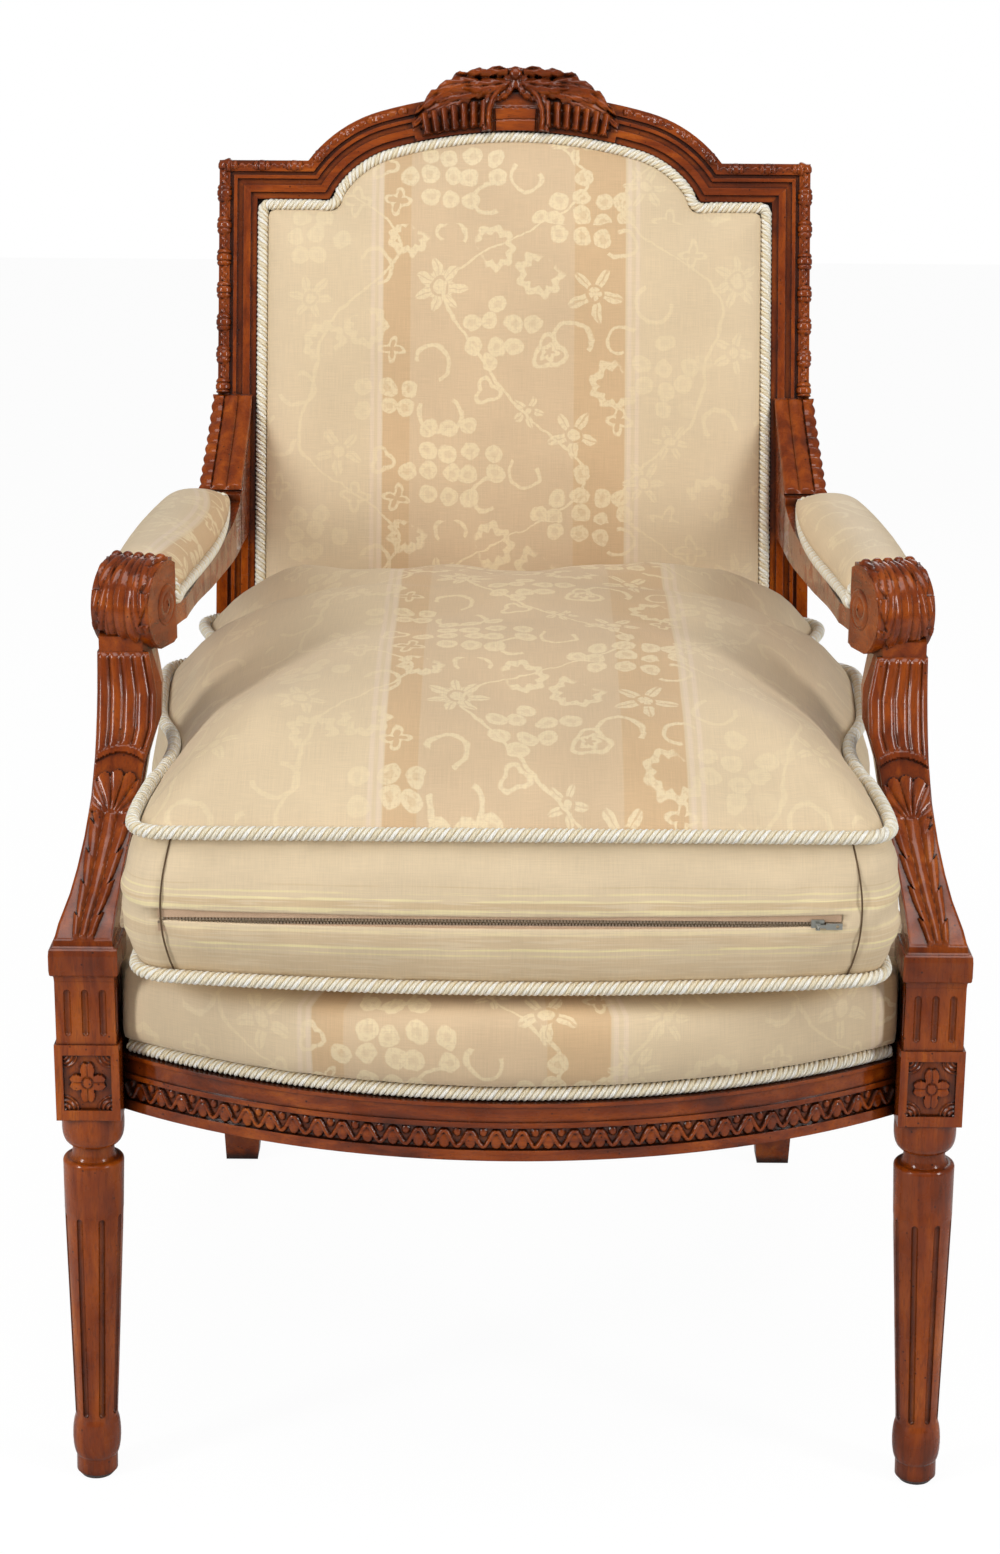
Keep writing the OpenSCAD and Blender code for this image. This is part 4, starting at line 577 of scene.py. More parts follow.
panelSet = {
    "low": 20, "bend": 14, "room": 3.8, "corner": 5, "gap": 11.2, "middle": (0, 260.5, 0),
    "profile": [  # share drawn in, depth behind the moulded face
        (0, 7.7), (0, 4), (-0.002, 1.5), (-0.004, -0.6), (0.004, -2.2), (0.026, -4.6), (0.06, -7), (0.1, -9.2),
        (0.15, -10.8), (0.22, -12.2), (0.3, -13.2), (0.4, -13.9), (0.52, -14.2), (0.66, -14.4), (0.8, -14.5),
        (0.92, -14.5)],
}
rearSet = {
    "inset": 18, "edge": 12, "cordR": 3, "lead": 12,
    "profile": [(0, 34.1), (0, 35.6), (0.012, 36.4), (0.05, 36.6), (0.2, 36.8), (0.5, 37.0), (0.8, 37.2)],
}


def panelLoop(u, low, gap=4):
    x, top, r = postX - u, chair["backH"] - u, chair["flankR"] - u
    turn = math.acos((top - flankZ) / r)
    cut = panelSet["bend"] / r
    kink = Vector((flankX + r * math.sin(turn), top))
    q = kink + Vector((panelSet["bend"], 0))
    kink = kink - Vector((panelSet["room"], panelSet["room"]))
    p = Vector(onArc(flankX, flankZ, r, turn - cut))
    c = panelSet["corner"]
    half = [Vector((0, low)), Vector((x, low)), Vector((x, top - c))]
    half += [Vector((x - c + c * math.cos(a), top - c + c * math.sin(a))) for a in (0.4, 0.8, 1.2)]
    half.append(Vector((x - c, top)))
    half += [bezier(q, q.lerp(kink, 0.7), p.lerp(kink, 0.7), p, i / 8) for i in range(9)]
    half += [Vector(onArc(flankX, flankZ, r, mix(turn - cut, archTurn, i / 10))) for i in range(1, 11)]
    half += [Vector(onArc(0, archC, archR - u, archTurn * (1 - i / 10))) for i in range(1, 11)]
    loop = half + [Vector((-p.x, p.y)) for p in half[-2:0:-1]]
    return evenly([Vector((p.x, p.y, 0)) for p in loop], gap, True)


def drawnPanel(name, loop, profile, swell, way=1):  # rings from the edge inwards; way is -1 on the rear
    rows, uvRows = [], []
    for share, depth in profile:
        ring = drawnIn(loop, Vector(panelSet["middle"]), share)
        rows.append([onBack(p.x, depth + swell(p, share), p.y) for p in ring])
        uvRows.append([((way * p.x + 3) / 1000, (p.y + 60) / 1000) for p in ring + ring[:1]])
    return meshPiece(name, skin(rows, uvRows, capHigh=True, flip=way < 0), "frame", clothMaterial)


def backPanel():
    def swell(p, share):
        pull = wander(p.x * 0.03, p.y * 0.03, 4) * 0.9
        pucker = wander(p.x * 0.11, p.y * 0.11, 9) * 1.1
        pucker *= (1 - smoothStep(0, 0.12, share)) * smoothStep(0, 0.01, share)
        return (pull + pucker) * smoothStep(0, 0.02, share)

    loop = panelLoop(chair["faceW"] + panelSet["gap"], panelSet["low"])
    panel = drawnPanel("backPanel", loop, panelSet["profile"], swell)
    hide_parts("back_cover")
    print("back panel,", len(panel.data.polygons), "faces")


def backCords():
    r, fit = chair["cordR"], chair["fit"]
    loop = panelLoop(chair["faceW"] + fit + r, panelSet["low"] - r - fit, 2)
    route = [onBack(p.x, chair["rebateD"] - fit - r, p.y) for p in loop]
    cord = twistedCord("backCord", route, "frame", first=(0, 1, 0))
    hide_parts("back_cord")
    r = rearSet["cordR"]
    loop = panelLoop(rearSet["edge"] + r - fit, rearSet["inset"] - r - fit, 2)
    route = [onBack(p.x, chair["frameT"] + r + fit, p.y) for p in loop]
    rear = twistedCord("outsideBackCord", route, "frame", radius=r, lead=rearSet["lead"], first=(0, 1, 0))
    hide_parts("outside_back_cord")


def outsideBack():
    def swell(p, share):
        return wander(p.x * 0.02, p.y * 0.02, 1) * 0.5 * smoothStep(0, 0.05, share)

    loop = panelLoop(rearSet["inset"], rearSet["inset"])
    cloth = drawnPanel("outsideBack", loop, rearSet["profile"], swell, -1)
    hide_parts("outside_back_cloth")


# the loose cushion; shares of a height run from its lower seam to its upper one
cushionSet = {
    "base": 418.3, "seam": 424.3, "topSeam": 536.3, "front": -70, "depth": 562, "seamW": 518.8, "crown": 74,
    "out": 15, "rearRise": 16, "cornerRise": 9, "cordOut": 5.6, "zipZ": 475.82, "zipLow": -245, "zipHigh": 229,
    "gapping": 4.6, "sink": 4.6, "endSeam": 235, "endBow": 8, "seamLineR": 0.7,
    "bulge": [(0, 0), (0.12, 0.6), (0.3, 1), (0.56, 1), (0.77, 0.75), (1, 0)],
    "plan": [  # x as a share of the half width, y as a share of the depth, bulge share
        (0, 0, 1), (0.3, 0, 1), (0.6, 0, 1), (0.9, 0, 1), (0.965, 0.005, 1), (0.992, 0.02, 1), (1, 0.045, 1),
        (0.998, 0.107, 0.9), (0.984, 0.196, 0.8), (0.969, 0.231, 0.8), (0.958, 0.32, 0.8), (0.975, 0.391, 0.8),
        (1.03, 0.48, 0.8), (1.055, 0.587, 0.8), (1.068, 0.676, 0.7), (1.06, 0.721, 0.5), (1.02, 0.742, 0.4),
        (0.95, 0.75, 0.3), (0.895, 0.757, 0.2), (0.875, 0.779, 0.1), (0.893, 0.81, 0.2), (0.93, 0.854, 0.3),
        (0.975, 0.907, 0.4), (1.003, 0.952, 0.5), (1.005, 0.979, 0.5), (0.98, 0.996, 0.5), (0.93, 1, 0.6),
        (0.6, 1, 0.6), (0.3, 1, 0.6)],
    "rise": [  # share drawn in, share of the crown's height
        (0, 0), (0.01, 0.06), (0.025, 0.12), (0.045, 0.19), (0.075, 0.3), (0.11, 0.4), (0.15, 0.49),
        (0.2, 0.59), (0.25, 0.68), (0.3, 0.76), (0.37, 0.83), (0.45, 0.89), (0.53, 0.93), (0.62, 0.96),
        (0.72, 0.98), (0.82, 0.992), (0.91, 1), (0.97, 1)],
}
cushionTall = cushionSet["topSeam"] - cushionSet["seam"]
cushionMiddle = Vector((0, cushionSet["front"] + 0.6 * cushionSet["depth"], 0))


def cushionPlan(gap):  # closed line of (x, y, bulge share), counter-clockwise from the middle of the front
    c = cushionSet
    half = [Vector((x * c["seamW"] / 2, c["front"] + y * c["depth"], share)) for x, y, share in c["plan"]]
    other = [Vector((-p.x, p.y, p.z)) for p in half[:0:-1]]
    loop = half + [Vector((0, c["front"] + c["depth"], 0.6))] + other
    line = through([(p.x, p.y, p.z * 1e-3) for p in loop], 14, True)
    return [Vector((p.x, p.y, p.z * 1e3)) for p in evenly(line, gap, True)]


def outward(loop):
    steps = [loop[(i + 1) % len(loop)] - loop[i - 1] for i in range(len(loop))]
    return [Vector((d.y, -d.x, 0)).normalized() for d in steps]


def onCushion(p, z):  # a point of the plan at a height, as the cushion leans on the back and its corners rise
    c = cushionSet
    s = (p.y - c["front"]) / c["depth"]
    up = (z - c["base"]) / (c["topSeam"] - c["base"])
    rise = max(0, z - c["seam"]) / cushionTall
    y = min(p.y, c["front"] + c["depth"] + 10) - (1 - up) * s * cushionTall * lean
    return spot(p.x, y, z + s * c["rearRise"] * rise
                + c["cornerRise"] * (p.x / c["seamW"] * 2) ** 2 * max(0, 1 - rise))


def endSeamX(t):  # the seams at the ends of the zip's panel bow outwards
    return cushionSet["endSeam"] + cushionSet["endBow"] * math.sin(math.pi * t)


def boxingPoint(p, nrm, z, sunk):
    c = cushionSet
    t = (z - c["seam"]) / cushionTall
    swell = lookUp(c["bulge"], t)
    atFront = p.y < c["front"] + 8
    isPanel = atFront and abs(p.x) < 250
    near = math.exp(-((z - c["zipZ"]) / 13) ** 2)  # 1 at the zip
    ripple = wander(p.x * 0.02, p.y * 0.02, z * 0.03) * 3.2
    tuck = wander(p.x * 0.085, p.y * 0.085, z * 0.012) * 3.0 * (1 - min(1, min(t, 1 - t) * 3.4))
    corner = math.exp(-((abs(p.x) - 238) / 62) ** 2) if p.y < c["front"] + 30 else 0
    drag = wander(abs(p.x) * 0.05 - z * 0.06, 1, 5 + (p.x > 0)) - 0.25
    drag *= 4.4 * corner * math.sin(math.pi * min(1, max(0, t)))
    folds = (ripple + tuck + drag) * (1 - 0.75 * near * isPanel) * min(1, swell + 0.3)
    seamDip = -1.6 * math.exp(-((abs(p.x) - endSeamX(t)) / 2.6) ** 2) if atFront else 0
    flap = 0.55 * wander(p.x * 0.02, 3, 0.1 * (z > c["zipZ"])) * near * isPanel
    most = c["out"] + (0.1 if near > 0.3 else 2.1)
    out = min(c["out"] * swell * p.z + folds + seamDip + flap, most)
    if isPanel and c["zipLow"] - 1 < p.x < c["zipHigh"] + 1:
        out -= c["sink"] * sunk
    return onCushion(p + nrm * out, z)


def cushionBoxing(plan):
    c = cushionSet
    edge = list(zip(plan, outward(plan)))
    run = runs([p.xy for p in plan], True)
    base, zipZ, gapping = c["base"], c["zipZ"], c["gapping"]
    layers = []
    under = ((0.1, -15, base), (0.03, -10, base + 0.6), (0, -6, base + 2.5), (0, -2, c["seam"] + 0.6))
    for share, grow, z in under:
        layers.append((z, [onCushion((p + nrm * grow).lerp(cushionMiddle, share), z) for p, nrm in edge]))
    levels = [(c["seam"] + cushionTall * t, 0) for t in (0.02, 0.06, 0.12, 0.19, 0.26, 0.33)]
    levels += [(zipZ - gapping - dz, sunk) for dz, sunk in ((5, 0), (1.2, 0), (0, 0.12), (-0.5, 1))]
    levels += [(zipZ + gapping + dz, sunk) for dz, sunk in ((-0.5, 1), (0, 0.12), (1.2, 0), (5, 0))]
    levels += [(c["seam"] + cushionTall * t, 0) for t in (0.58, 0.66, 0.74, 0.82, 0.9, 0.96)]
    for z, sunk in levels:
        layers.append((z, [boxingPoint(p, nrm, z, sunk) for p, nrm in edge]))
    layers.append((c["topSeam"], [onCushion(p + nrm * 0.5, c["topSeam"]) for p, nrm in edge]))
    uvRows = [[(s / 1000, (z - zipZ) / 1000) for s in run] for z, row in layers]
    shape = skin([row for z, row in layers], uvRows, capLow=True)
    return meshPiece("cushionBoxing", shape, "cushion", boxingMaterial)


def cushionTop(plan):  # crowned, drawn in ring by ring
    c = cushionSet
    rows, uvRows = [], []
    for share, up in c["rise"]:
        ring = drawnIn(plan, cushionMiddle, share)
        edge = math.exp(-share / 0.07)
        row = []
        for seam, p in zip(plan, ring):
            gather = wander(seam.x * 0.075, seam.y * 0.075, 2) * 3.4 * edge * smoothStep(0, 0.02, share)
            soft = wander(p.x * 0.009, p.y * 0.009, 6) * 9 * smoothStep(0, 0.2, share)
            crease = wander(p.x * 0.03, p.y * 0.008, 8) * 2.2 * smoothStep(0.02, 0.2, share)
            nearFront = 1 - smoothStep(c["front"] + 60, c["front"] + 190, p.y)
            pulls = wander(p.x * 0.07, p.y * 0.014, 3) * 1.5 * smoothStep(0.01, 0.08, share) * nearFront
            row.append(onCushion(p, c["topSeam"] + up * c["crown"] + gather + soft + crease + pulls))
        rows.append(row)
        uvRows.append([((p.x - 22) / 1000, (p.y + 150) / 1000) for p in ring + ring[:1]])
    return meshPiece("cushionTop", skin(rows, uvRows, capHigh=True), "cushion", clothMaterial)


def cushionCover():
    plan = cushionPlan(4.0)
    boxing = cushionBoxing(plan)
    top = cushionTop(plan)
    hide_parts("cushion_cover")
    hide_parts("cushion_cover")
    print("cushion,", len(top.data.polygons), "faces on top")


def cushionCords():
    c = cushionSet
    plan = cushionPlan(2.0)
    normals = outward(plan)
    half = len(plan) // 2
    for name, z, node in (("cushionTopCord", c["topSeam"] + 1, "cushion_top_cord"),
                          ("cushionBottomCord", c["seam"], "cushion_bottom_cord")):
        route = [onCushion(p + nrm * c["cordOut"], z) for p, nrm in zip(plan, normals)]
        cord = twistedCord(name, route[half:] + route[:half], "cushion")  # its ends meet at the rear
        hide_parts(node)


def seamLines():  # dark lines laid along the seams at the two ends of the zip's panel
    c = cushionSet
    for side, name in bothSides:
        line = []
        for i in range(25):
            z = mix(c["seam"] + 4, c["topSeam"] - 4, i / 24)
            t = (z - c["seam"]) / cushionTall
            y = c["front"] - c["out"] * lookUp(c["bulge"], t) + 0.9
            line.append(onCushion(Vector((side * endSeamX(t), y, 0)), z))
        rows = []
        for p, (tangent, a, b) in zip(line, carried(line, (0, 1, 0))):
            turns = [k * math.pi / 3 for k in range(6)]
            ring = [a * math.cos(turn) + b * math.sin(turn) for turn in turns]
            rows.append([p + out * c["seamLineR"] / 1000 for out in ring])
        seamTube = skin(rows, [[(0, 0)] * 7 for row in rows], capLow=True, capHigh=True)
        meshPiece("seamLine" + name, seamTube, "cushion", darkSeamLine)


# fixed seat
seatSet = {
    "foot": 353.6, "top": 418, "notch": 0.8, "reveal": 4, "cordEnd": 5.8, "middle": (0, 204.1, 0),
    "profile": [  # how far it stands out from the ledge's foot, share drawn in, share of the height
        (3, 0, 0), (10, 0, 0.03), (13, 0, 0.1), (15.2, 0, 0.2), (16, 0, 0.35), (16, 0, 0.48), (15, 0, 0.6),
        (12.5, 0, 0.71), (8.5, 0, 0.81), (8, 0.03, 0.87), (8, 0.08, 0.93), (8, 0.16, 0.97), (8, 0.28, 0.99),
        (8, 0.5, 1), (8, 0.8, 1)],
}


def sideLine(out):  # the two ends of a line along a side rail, out from its ledge's foot, and its direction
    front = Vector((chair["legX"] + chair["blockW"] / 2 - seatSet["reveal"], chair["blockW"] / 2, 0))
    ledgeLean = (chair["seatH"] - chair["ledgeZ"]) * lean
    rear = Vector((postX - seatSet["reveal"], chair["seatDepth"] - ledgeLean, 0))
    way = (rear - front).normalized()
    off = (chair["ledgeW"] - out) * Vector((-way.y, way.x, 0))
    return front + off, rear + off, way


def seatLoop(out):
    notch = seatSet["notch"]
    r = bowR - chair["ledgeW"] + out
    a = math.asin((blockIn - notch) / r)
    front = [Vector((*onBow(r, a * i / 16), 0)) for i in range(17)]
    start, stop, way = sideLine(out)
    start.y = chair["blockW"] / 2 + notch
    half = front + [Vector((blockIn - notch, start.y, 0)), start, stop]
    return evenly(half + [Vector((-p.x, p.y, 0)) for p in half[:0:-1]], 4, True)


def resampled(loop, count):
    return (evenly(loop, runs(loop, True)[-1] / count, True) * 2)[:count]


def seatCover():
    s = seatSet
    middle = Vector(s["middle"])
    count = len(seatLoop(16))
    rows, uvRows = [], []
    for out, share, up in s["profile"]:
        loop = resampled(seatLoop(out), count)
        run = runs(loop, True)
        z = mix(s["foot"], s["top"], up)
        row = []
        for p in loop:
            gather = wander(p.x * 0.06, p.y * 0.06, 5) * 1.5
            gather *= (1 - smoothStep(0.02, 0.5, up)) * smoothStep(0, 0.05, up)
            slack = wander(p.x * 0.016, p.y * 0.016, 7 + up) * 1.6
            slack *= smoothStep(0.05, 0.3, up) * (1 - smoothStep(0.8, 0.95, up))
            q = (p + (p - middle).normalized() * (gather + slack)).lerp(middle, share)
            row.append(spot(q.x, q.y, z))
        rows.append(row)
        high = z - s["foot"] + share * 200 + 20
        uvRows.append([((v - (v > run[-1] / 2) * run[-1] + 30) / 1000, high / 1000) for v in run])
    points, faces, uvs = skin(rows, uvRows, capHigh=True)
    # where the run starts again the two ends of a face would lie a whole round apart
    for k, corners in enumerate(uvs):
        low, high = min(c[0] for c in corners), max(c[0] for c in corners)
        if high - low > 0.5:
            uvs[k] = tuple((c[0] if c[0] > 0 else low + high - c[0], c[1]) for c in corners)
    cover = meshPiece("seatCover", (points, faces, uvs), "frame", clothMaterial)
    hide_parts("seat_cover")


def seatCords():
    out = chair["fit"] + chair["cordR"]
    z = chair["ledgeZ"] + out
    r = bowR - chair["ledgeW"] + out
    a = math.asin((blockIn - chair["cordR"]) / r)
    line = [spot(*onBow(r, mix(-a, a, i / 60)), z) for i in range(61)]
    cord = twistedCord("seatCordFront", line, "frame", closed=False)
    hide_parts("seat_cord")
    start, stop, way = sideLine(out)
    start, stop = start + way * seatSet["cordEnd"], stop - way * seatSet["cordEnd"]
    for side, name in bothSides:
        line = [spot(side * mix(start.x, stop.x, i / 20), mix(start.y, stop.y, i / 20), z) for i in range(21)]
        cord = twistedCord("seatCord" + name, line, "frame", closed=False)
        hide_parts("seat_cord")


# arm pads and what the arms' carving is set on
armSet = {
    "width": 62, "out": 304, "front": 126.25, "rear": 474, "padH": 41, "bed": (651, 646, 640, 662),
    "scrollX": 278, "scrollY": 118, "scrollZ": 655, "scrollR": 33, "scrollW": 46, "scrollTurn": 18,
}


def padShare(y):
    return (y - armSet["front"]) / (armSet["rear"] - armSet["front"])


def bedZ(y):
    return bezier(*armSet["bed"], padShare(y))


def padIn(y):
    w, inner = armSet["width"], armSet["out"] - armSet["width"]
    return bezier(inner + 0.08 * w, inner + 0.12 * w, inner - 0.26 * w, inner + 0.03 * w, padShare(y))


def padOut(y):
    w, outer = armSet["width"], armSet["out"]
    return bezier(outer, outer + 0.05 * w, outer + 0.11 * w, outer - 0.4 * w, padShare(y))


def padMid(y):
    return (padIn(y) + padOut(y)) / 2


def padHalf(y):
    return (padOut(y) - padIn(y)) / 2


def armPads():
    cord, fit, steps = 2 * chair["cordR"], chair["fit"], 56
    gap = cord + 2 * fit
    start, stop = armSet["front"] + gap, armSet["rear"] - gap
    for side, name in bothSides:
        rows, uvRows = [], []
        for i in range(steps + 1):
            t = i / steps
            y = mix(start, stop, t)
            end = math.sqrt(max(0.0, 1 - max(0, (abs(t - 0.5) - 0.44) / 0.06) ** 2)) * 0.3 + 0.7
            fall = 1 - 0.7 * max(0, 4 * padShare(y) - 3) ** 2
            half, full = (padHalf(y) - gap) * end, padHalf(y) * (end + 1) / 2
            z = bedZ(y) + fit
            shelf = z + cord + fit
            top = (armSet["padH"] * fall - cord + armSet["bed"][1] - bedZ(y)) * end
            ring = [(-half, shelf - 4), (-half, z), (0, z), (half, z), (half, shelf - 4)]
            for k in range(33):
                a = math.pi * (0.03 + 0.94 * k / 32)
                c, s = math.cos(a), math.sin(a)
                tuck = wander(y * 0.05, c * 1.5, 3) * 1.1 * (1 - s)
                ring.append((full * math.copysign(abs(c) ** 0.86, c), shelf + (top + tuck) * s ** 0.8))
            rows.append([spot(side * padMid(y) + x, y, high) for x, high in ring])
            run = runs([Vector(p) for p in ring], True)
            uvRows.append([((u + 20 * side + 30) / 1000, (y + 40) / 1000) for u in run])
        shape = skin(rows, uvRows, capLow=True, capHigh=True, flip=True)
        pad = meshPiece("armPad" + name, shape, "frame", clothMaterial)
        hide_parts("arm_pad_" + name.lower())
        padCord(side, name)
    print("arm pads made")


def padCord(side, name):
    inset = chair["cordR"] + chair["fit"]
    frontY, rearY = armSet["front"] + inset, armSet["rear"] - inset

    def at(y, share, lift=0):  # share of the way from the pad's middle line to the cord's place beside it
        return padMid(y) + share * (padHalf(y) - chair["cordR"]), y, bedZ(y) + inset + lift

    def edge(way):
        rear = [at(rearY, way * share) for share in (0.02, 0.4, 0.75)]
        return rear + [at(mix(rearY - chair["cordR"], frontY, i / 12), way) for i in range(13)]

    front = [at(frontY, math.cos(a), 25 * math.sin(a)) for a in (math.radians(18 * k) for k in range(1, 10))]
    route = edge(1) + front + edge(-1)[::-1]
    line = through([spot(side * x, y, z) for x, y, z in route], 8)
    cord = twistedCord("armPadCord" + name, line, "frame", closed=False)
    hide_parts("arm_pad_cord_" + name.lower())


# zip: two rows of teeth on their tapes
zipSet = {"y": -82.3, "pitch": 2.3, "tooth": (1.5, 1.6), "root": 2.2, "tip": 0.42}


def zipChain():
    z, low, high = zipSet, cushionSet["zipLow"], cushionSet["zipHigh"]
    points, faces = [], []
    for i in range(int((high - low) / z["pitch"])):
        for way in (-1, 1):
            x = low + (i + 0.5 + way * 0.25) * z["pitch"]
            a = [len(points) + k for k in range(8)]
            ends = ((z["tip"], 1.0), (z["root"], 0.72)) if way > 0 else ((-z["root"], 1.0), (-z["tip"], 0.72))
            for dx, dy in ((-0.5, 0.5), (0.5, 0.5), (0.5, -0.35), (-0.5, -0.35)):
                for up, grow in ends:
                    points.append(spot(x + dx * z["tooth"][0] * grow, z["y"] + dy * z["tooth"][1],
                                       cushionSet["zipZ"] + up))
            faces += [(a[0], a[2], a[4], a[6]), (a[1], a[7], a[5], a[3]), (a[0], a[1], a[3], a[2]),
                      (a[2], a[3], a[5], a[4]), (a[4], a[5], a[7], a[6]), (a[6], a[7], a[1], a[0])]
    chain = meshPiece("zipTeeth", (points, faces, None), "cushion", chainMaterial, smooth=False)
    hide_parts("zip_chain")


# Carving: a grid is made thick, and both its sides are carried to their place with the relief on the outer one
def carved(name, low, high, counts, place, material, ring=False):
    bpy.ops.object.select_all(action="DESELECT")
    along, over = counts
    bpy.ops.mesh.primitive_grid_add(x_subdivisions=along, y_subdivisions=over, size=1, location=(0, 0, 0))
    piece = bpy.context.object
    piece.name = name
    bpy.ops.object.mode_set(mode="EDIT")
    bpy.ops.mesh.select_all(action="SELECT")
    bpy.ops.mesh.extrude_region_move(TRANSFORM_OT_translate={"value": (0, 0, 1)})
    if ring:  # the two ends meet, so neither has a wall
        bpy.ops.mesh.select_mode(type="FACE")
        bpy.ops.mesh.select_all(action="DESELECT")
        bpy.ops.object.mode_set(mode="OBJECT")
        for face in piece.data.polygons:
            face.select = all(abs(piece.data.vertices[k].co.x) > 0.4999 for k in face.vertices)
        bpy.ops.object.mode_set(mode="EDIT")
        bpy.ops.mesh.delete(type="FACE")
    bpy.ops.object.mode_set(mode="OBJECT")
    for vertex in piece.data.vertices:
        u = mix(low[0], high[0], vertex.co.x + 0.5)
        v = mix(low[1], high[1], vertex.co.y + 0.5)
        vertex.co = place(u, v, vertex.co.z > 0.5)
    bpy.ops.object.mode_set(mode="EDIT")
    bpy.ops.mesh.select_all(action="SELECT")
    if ring:
        bpy.ops.mesh.remove_doubles(threshold=0.000002)
    bpy.ops.mesh.normals_make_consistent(inside=False)
    bpy.ops.object.mode_set(mode="OBJECT")
    bpy.ops.object.shade_smooth_by_angle(angle=math.radians(50))
    return finishPiece(piece, "frame", material)


def leafRise(x, y, base, tip, wide, high, lobes=5, bend=0.0):  # relief of one lobed leaf, or 0 beside it
    ax, ay = tip[0] - base[0], tip[1] - base[1]
    length = math.hypot(ax, ay)
    s = ((x - base[0]) * ax + (y - base[1]) * ay) / length ** 2
    if s < -0.04 or s > 1:
        return 0
    w = ((x - base[0]) * ay - (y - base[1]) * ax) / length - bend * length * 4 * s * (1 - s)
    notch = abs(math.sin(math.pi * (lobes * s - abs(w) / wide * 0.9))) ** 0.6
    edge = wide * math.sin(math.pi * min(1, s * 0.9 + 0.1) ** 0.8) ** 0.7 * (0.7 + 0.3 * notch)
    if abs(w) >= edge:
        return 0
    t = abs(w) / edge
    rib = 0.05 * high * math.cos(2 * math.pi * (lobes * s - t * 0.8))
    return high * (0.58 + 0.42 * math.sqrt(1 - t * t)) + rib - 0.16 * high * math.exp(-(w / 0.9) ** 2)


def lineRise(x, y, line, wide, high):  # relief of a rounded rib along a line
    best = wide
    for (ax, ay), (bx, by) in zip(line, line[1:]):
        dx, dy = bx - ax, by - ay
        t = min(1, max(0, ((x - ax) * dx + (y - ay) * dy) / (dx * dx + dy * dy)))
        best = min(best, math.hypot(x - ax - dx * t, y - ay - dy * t))
    return high * math.sqrt(max(0, 1 - (best / wide) ** 2))


# the crest: leaf garlands, a bow with pleated tails, a button flower over a plain tablet
crestSet = {
    "half": 98, "back": 15, "tabletX": 20.5, "tabletTop": 21.5, "buttonD": 48.5, "buttonR": 12, "bossR": 5.8,
    "tailIn": 24, "tailOut": 92, "tailTop": 27, "pleats": 7.2,
    "top": [  # distance from the middle, height of the scalloped edge
        (0, 58), (5, 57), (8, 55.5), (13, 58), (20, 57.5), (25, 55), (31, 57.5), (38, 56), (42, 53.5),
        (48, 56), (53, 54), (56, 49.5), (61, 50), (67, 46.5), (70, 43), (75, 43), (80, 38), (83, 33.5),
        (88, 30), (98, 17)],
    "leaves": [  # base, tip, half width, height, lobes, bend
        ((44, 30), (100, 12), 7.5, 5.5, 4, -0.05), ((50, 42), (95, 22), 7, 8.4, 3, -0.06),
        ((28, 33), (72, 30), 6.5, 7.5, 3, -0.05), ((34, 42), (80, 38), 8, 10, 3, -0.05),
        ((30, 52), (66, 48), 7, 8, 3, -0.1), ((10, 40), (50, 40), 8, 11.4, 3, 0.04),
        ((8, 52), (52, 52), 8, 12.5, 3, -0.04)],
    "knot": [((3, 40), (19, 26), 4.2, 7, 2, 0.08), ((2, 41), (9, 29), 3.4, 8.4, 2, 0)],
    "loop": [(25.6, 0), (26.2, 8), (25, 18), (21, 28), (14, 36.5), (6, 41.5)],
}


def crestRise(x, d):  # relief at x from the middle and d above the frame's inner edge
    c = crestSet
    a = abs(x)
    arch, top = chair["faceW"], c["tailTop"]
    filled = 1 - smoothStep(-3, 1, d - top + 0.22 * max(0, a - 20)) if a > c["tailIn"] else 0
    h = mix(1.4, -1.4, filled) if d < arch else mix(1.4, -3, smoothStep(arch, arch + 6, d))
    if a < c["tabletX"] and d < c["tabletTop"]:
        h = max(h, 3.6 if min(c["tabletX"] - a, c["tabletTop"] - d) > 1.6 else 2.2)
        if abs(d - 10 - x * 0.02) < 0.5:  # the line across the tablet
            h -= 0.9
    if c["tailIn"] < a < c["tailOut"] and 3 < d < top:
        s = (a - 25) / 66
        low = 3.5 + 1.2 * abs(math.sin(math.pi * s * 8)) - 1.5 * s
        if low < d < top - 5.5 * s and s < 1 - 0.05 * abs(math.sin((d - low) * 0.4)):
            phase = (s * c["pleats"] + (d - 14) * 0.012 * (1 - s)) % 1
            fold = math.sin(math.pi * phase ** 1.5) ** 0.8
            h = max(h, 3.4 + 6.4 * fold * (1 - 0.2 * s))
    for leaf in c["leaves"] + (c["knot"] if d > 20 else []):
        h = max(h, leafRise(a, d, *leaf))
    h = max(h, lineRise(a, d, c["loop"], 3.1, 10.4))
    h = max(h, lineRise(a, d, [(px + 4.2, pd + 1.2) for px, pd in c["loop"]], 3.6, 8))
    r = math.hypot(x, d - c["buttonD"])
    lobe = abs(math.cos(math.atan2(x, d - c["buttonD"]) * 3))
    if r < c["buttonR"] * (0.74 + 0.26 * lobe):
        h = max(h, 9.6 + 1.6 * lobe - 0.25 * r)
    if r < c["bossR"]:
        h = 9.4 if r > 4.9 else 10.5 + 3.4 * math.sqrt(1 - (r / c["bossR"]) ** 2)
    return h


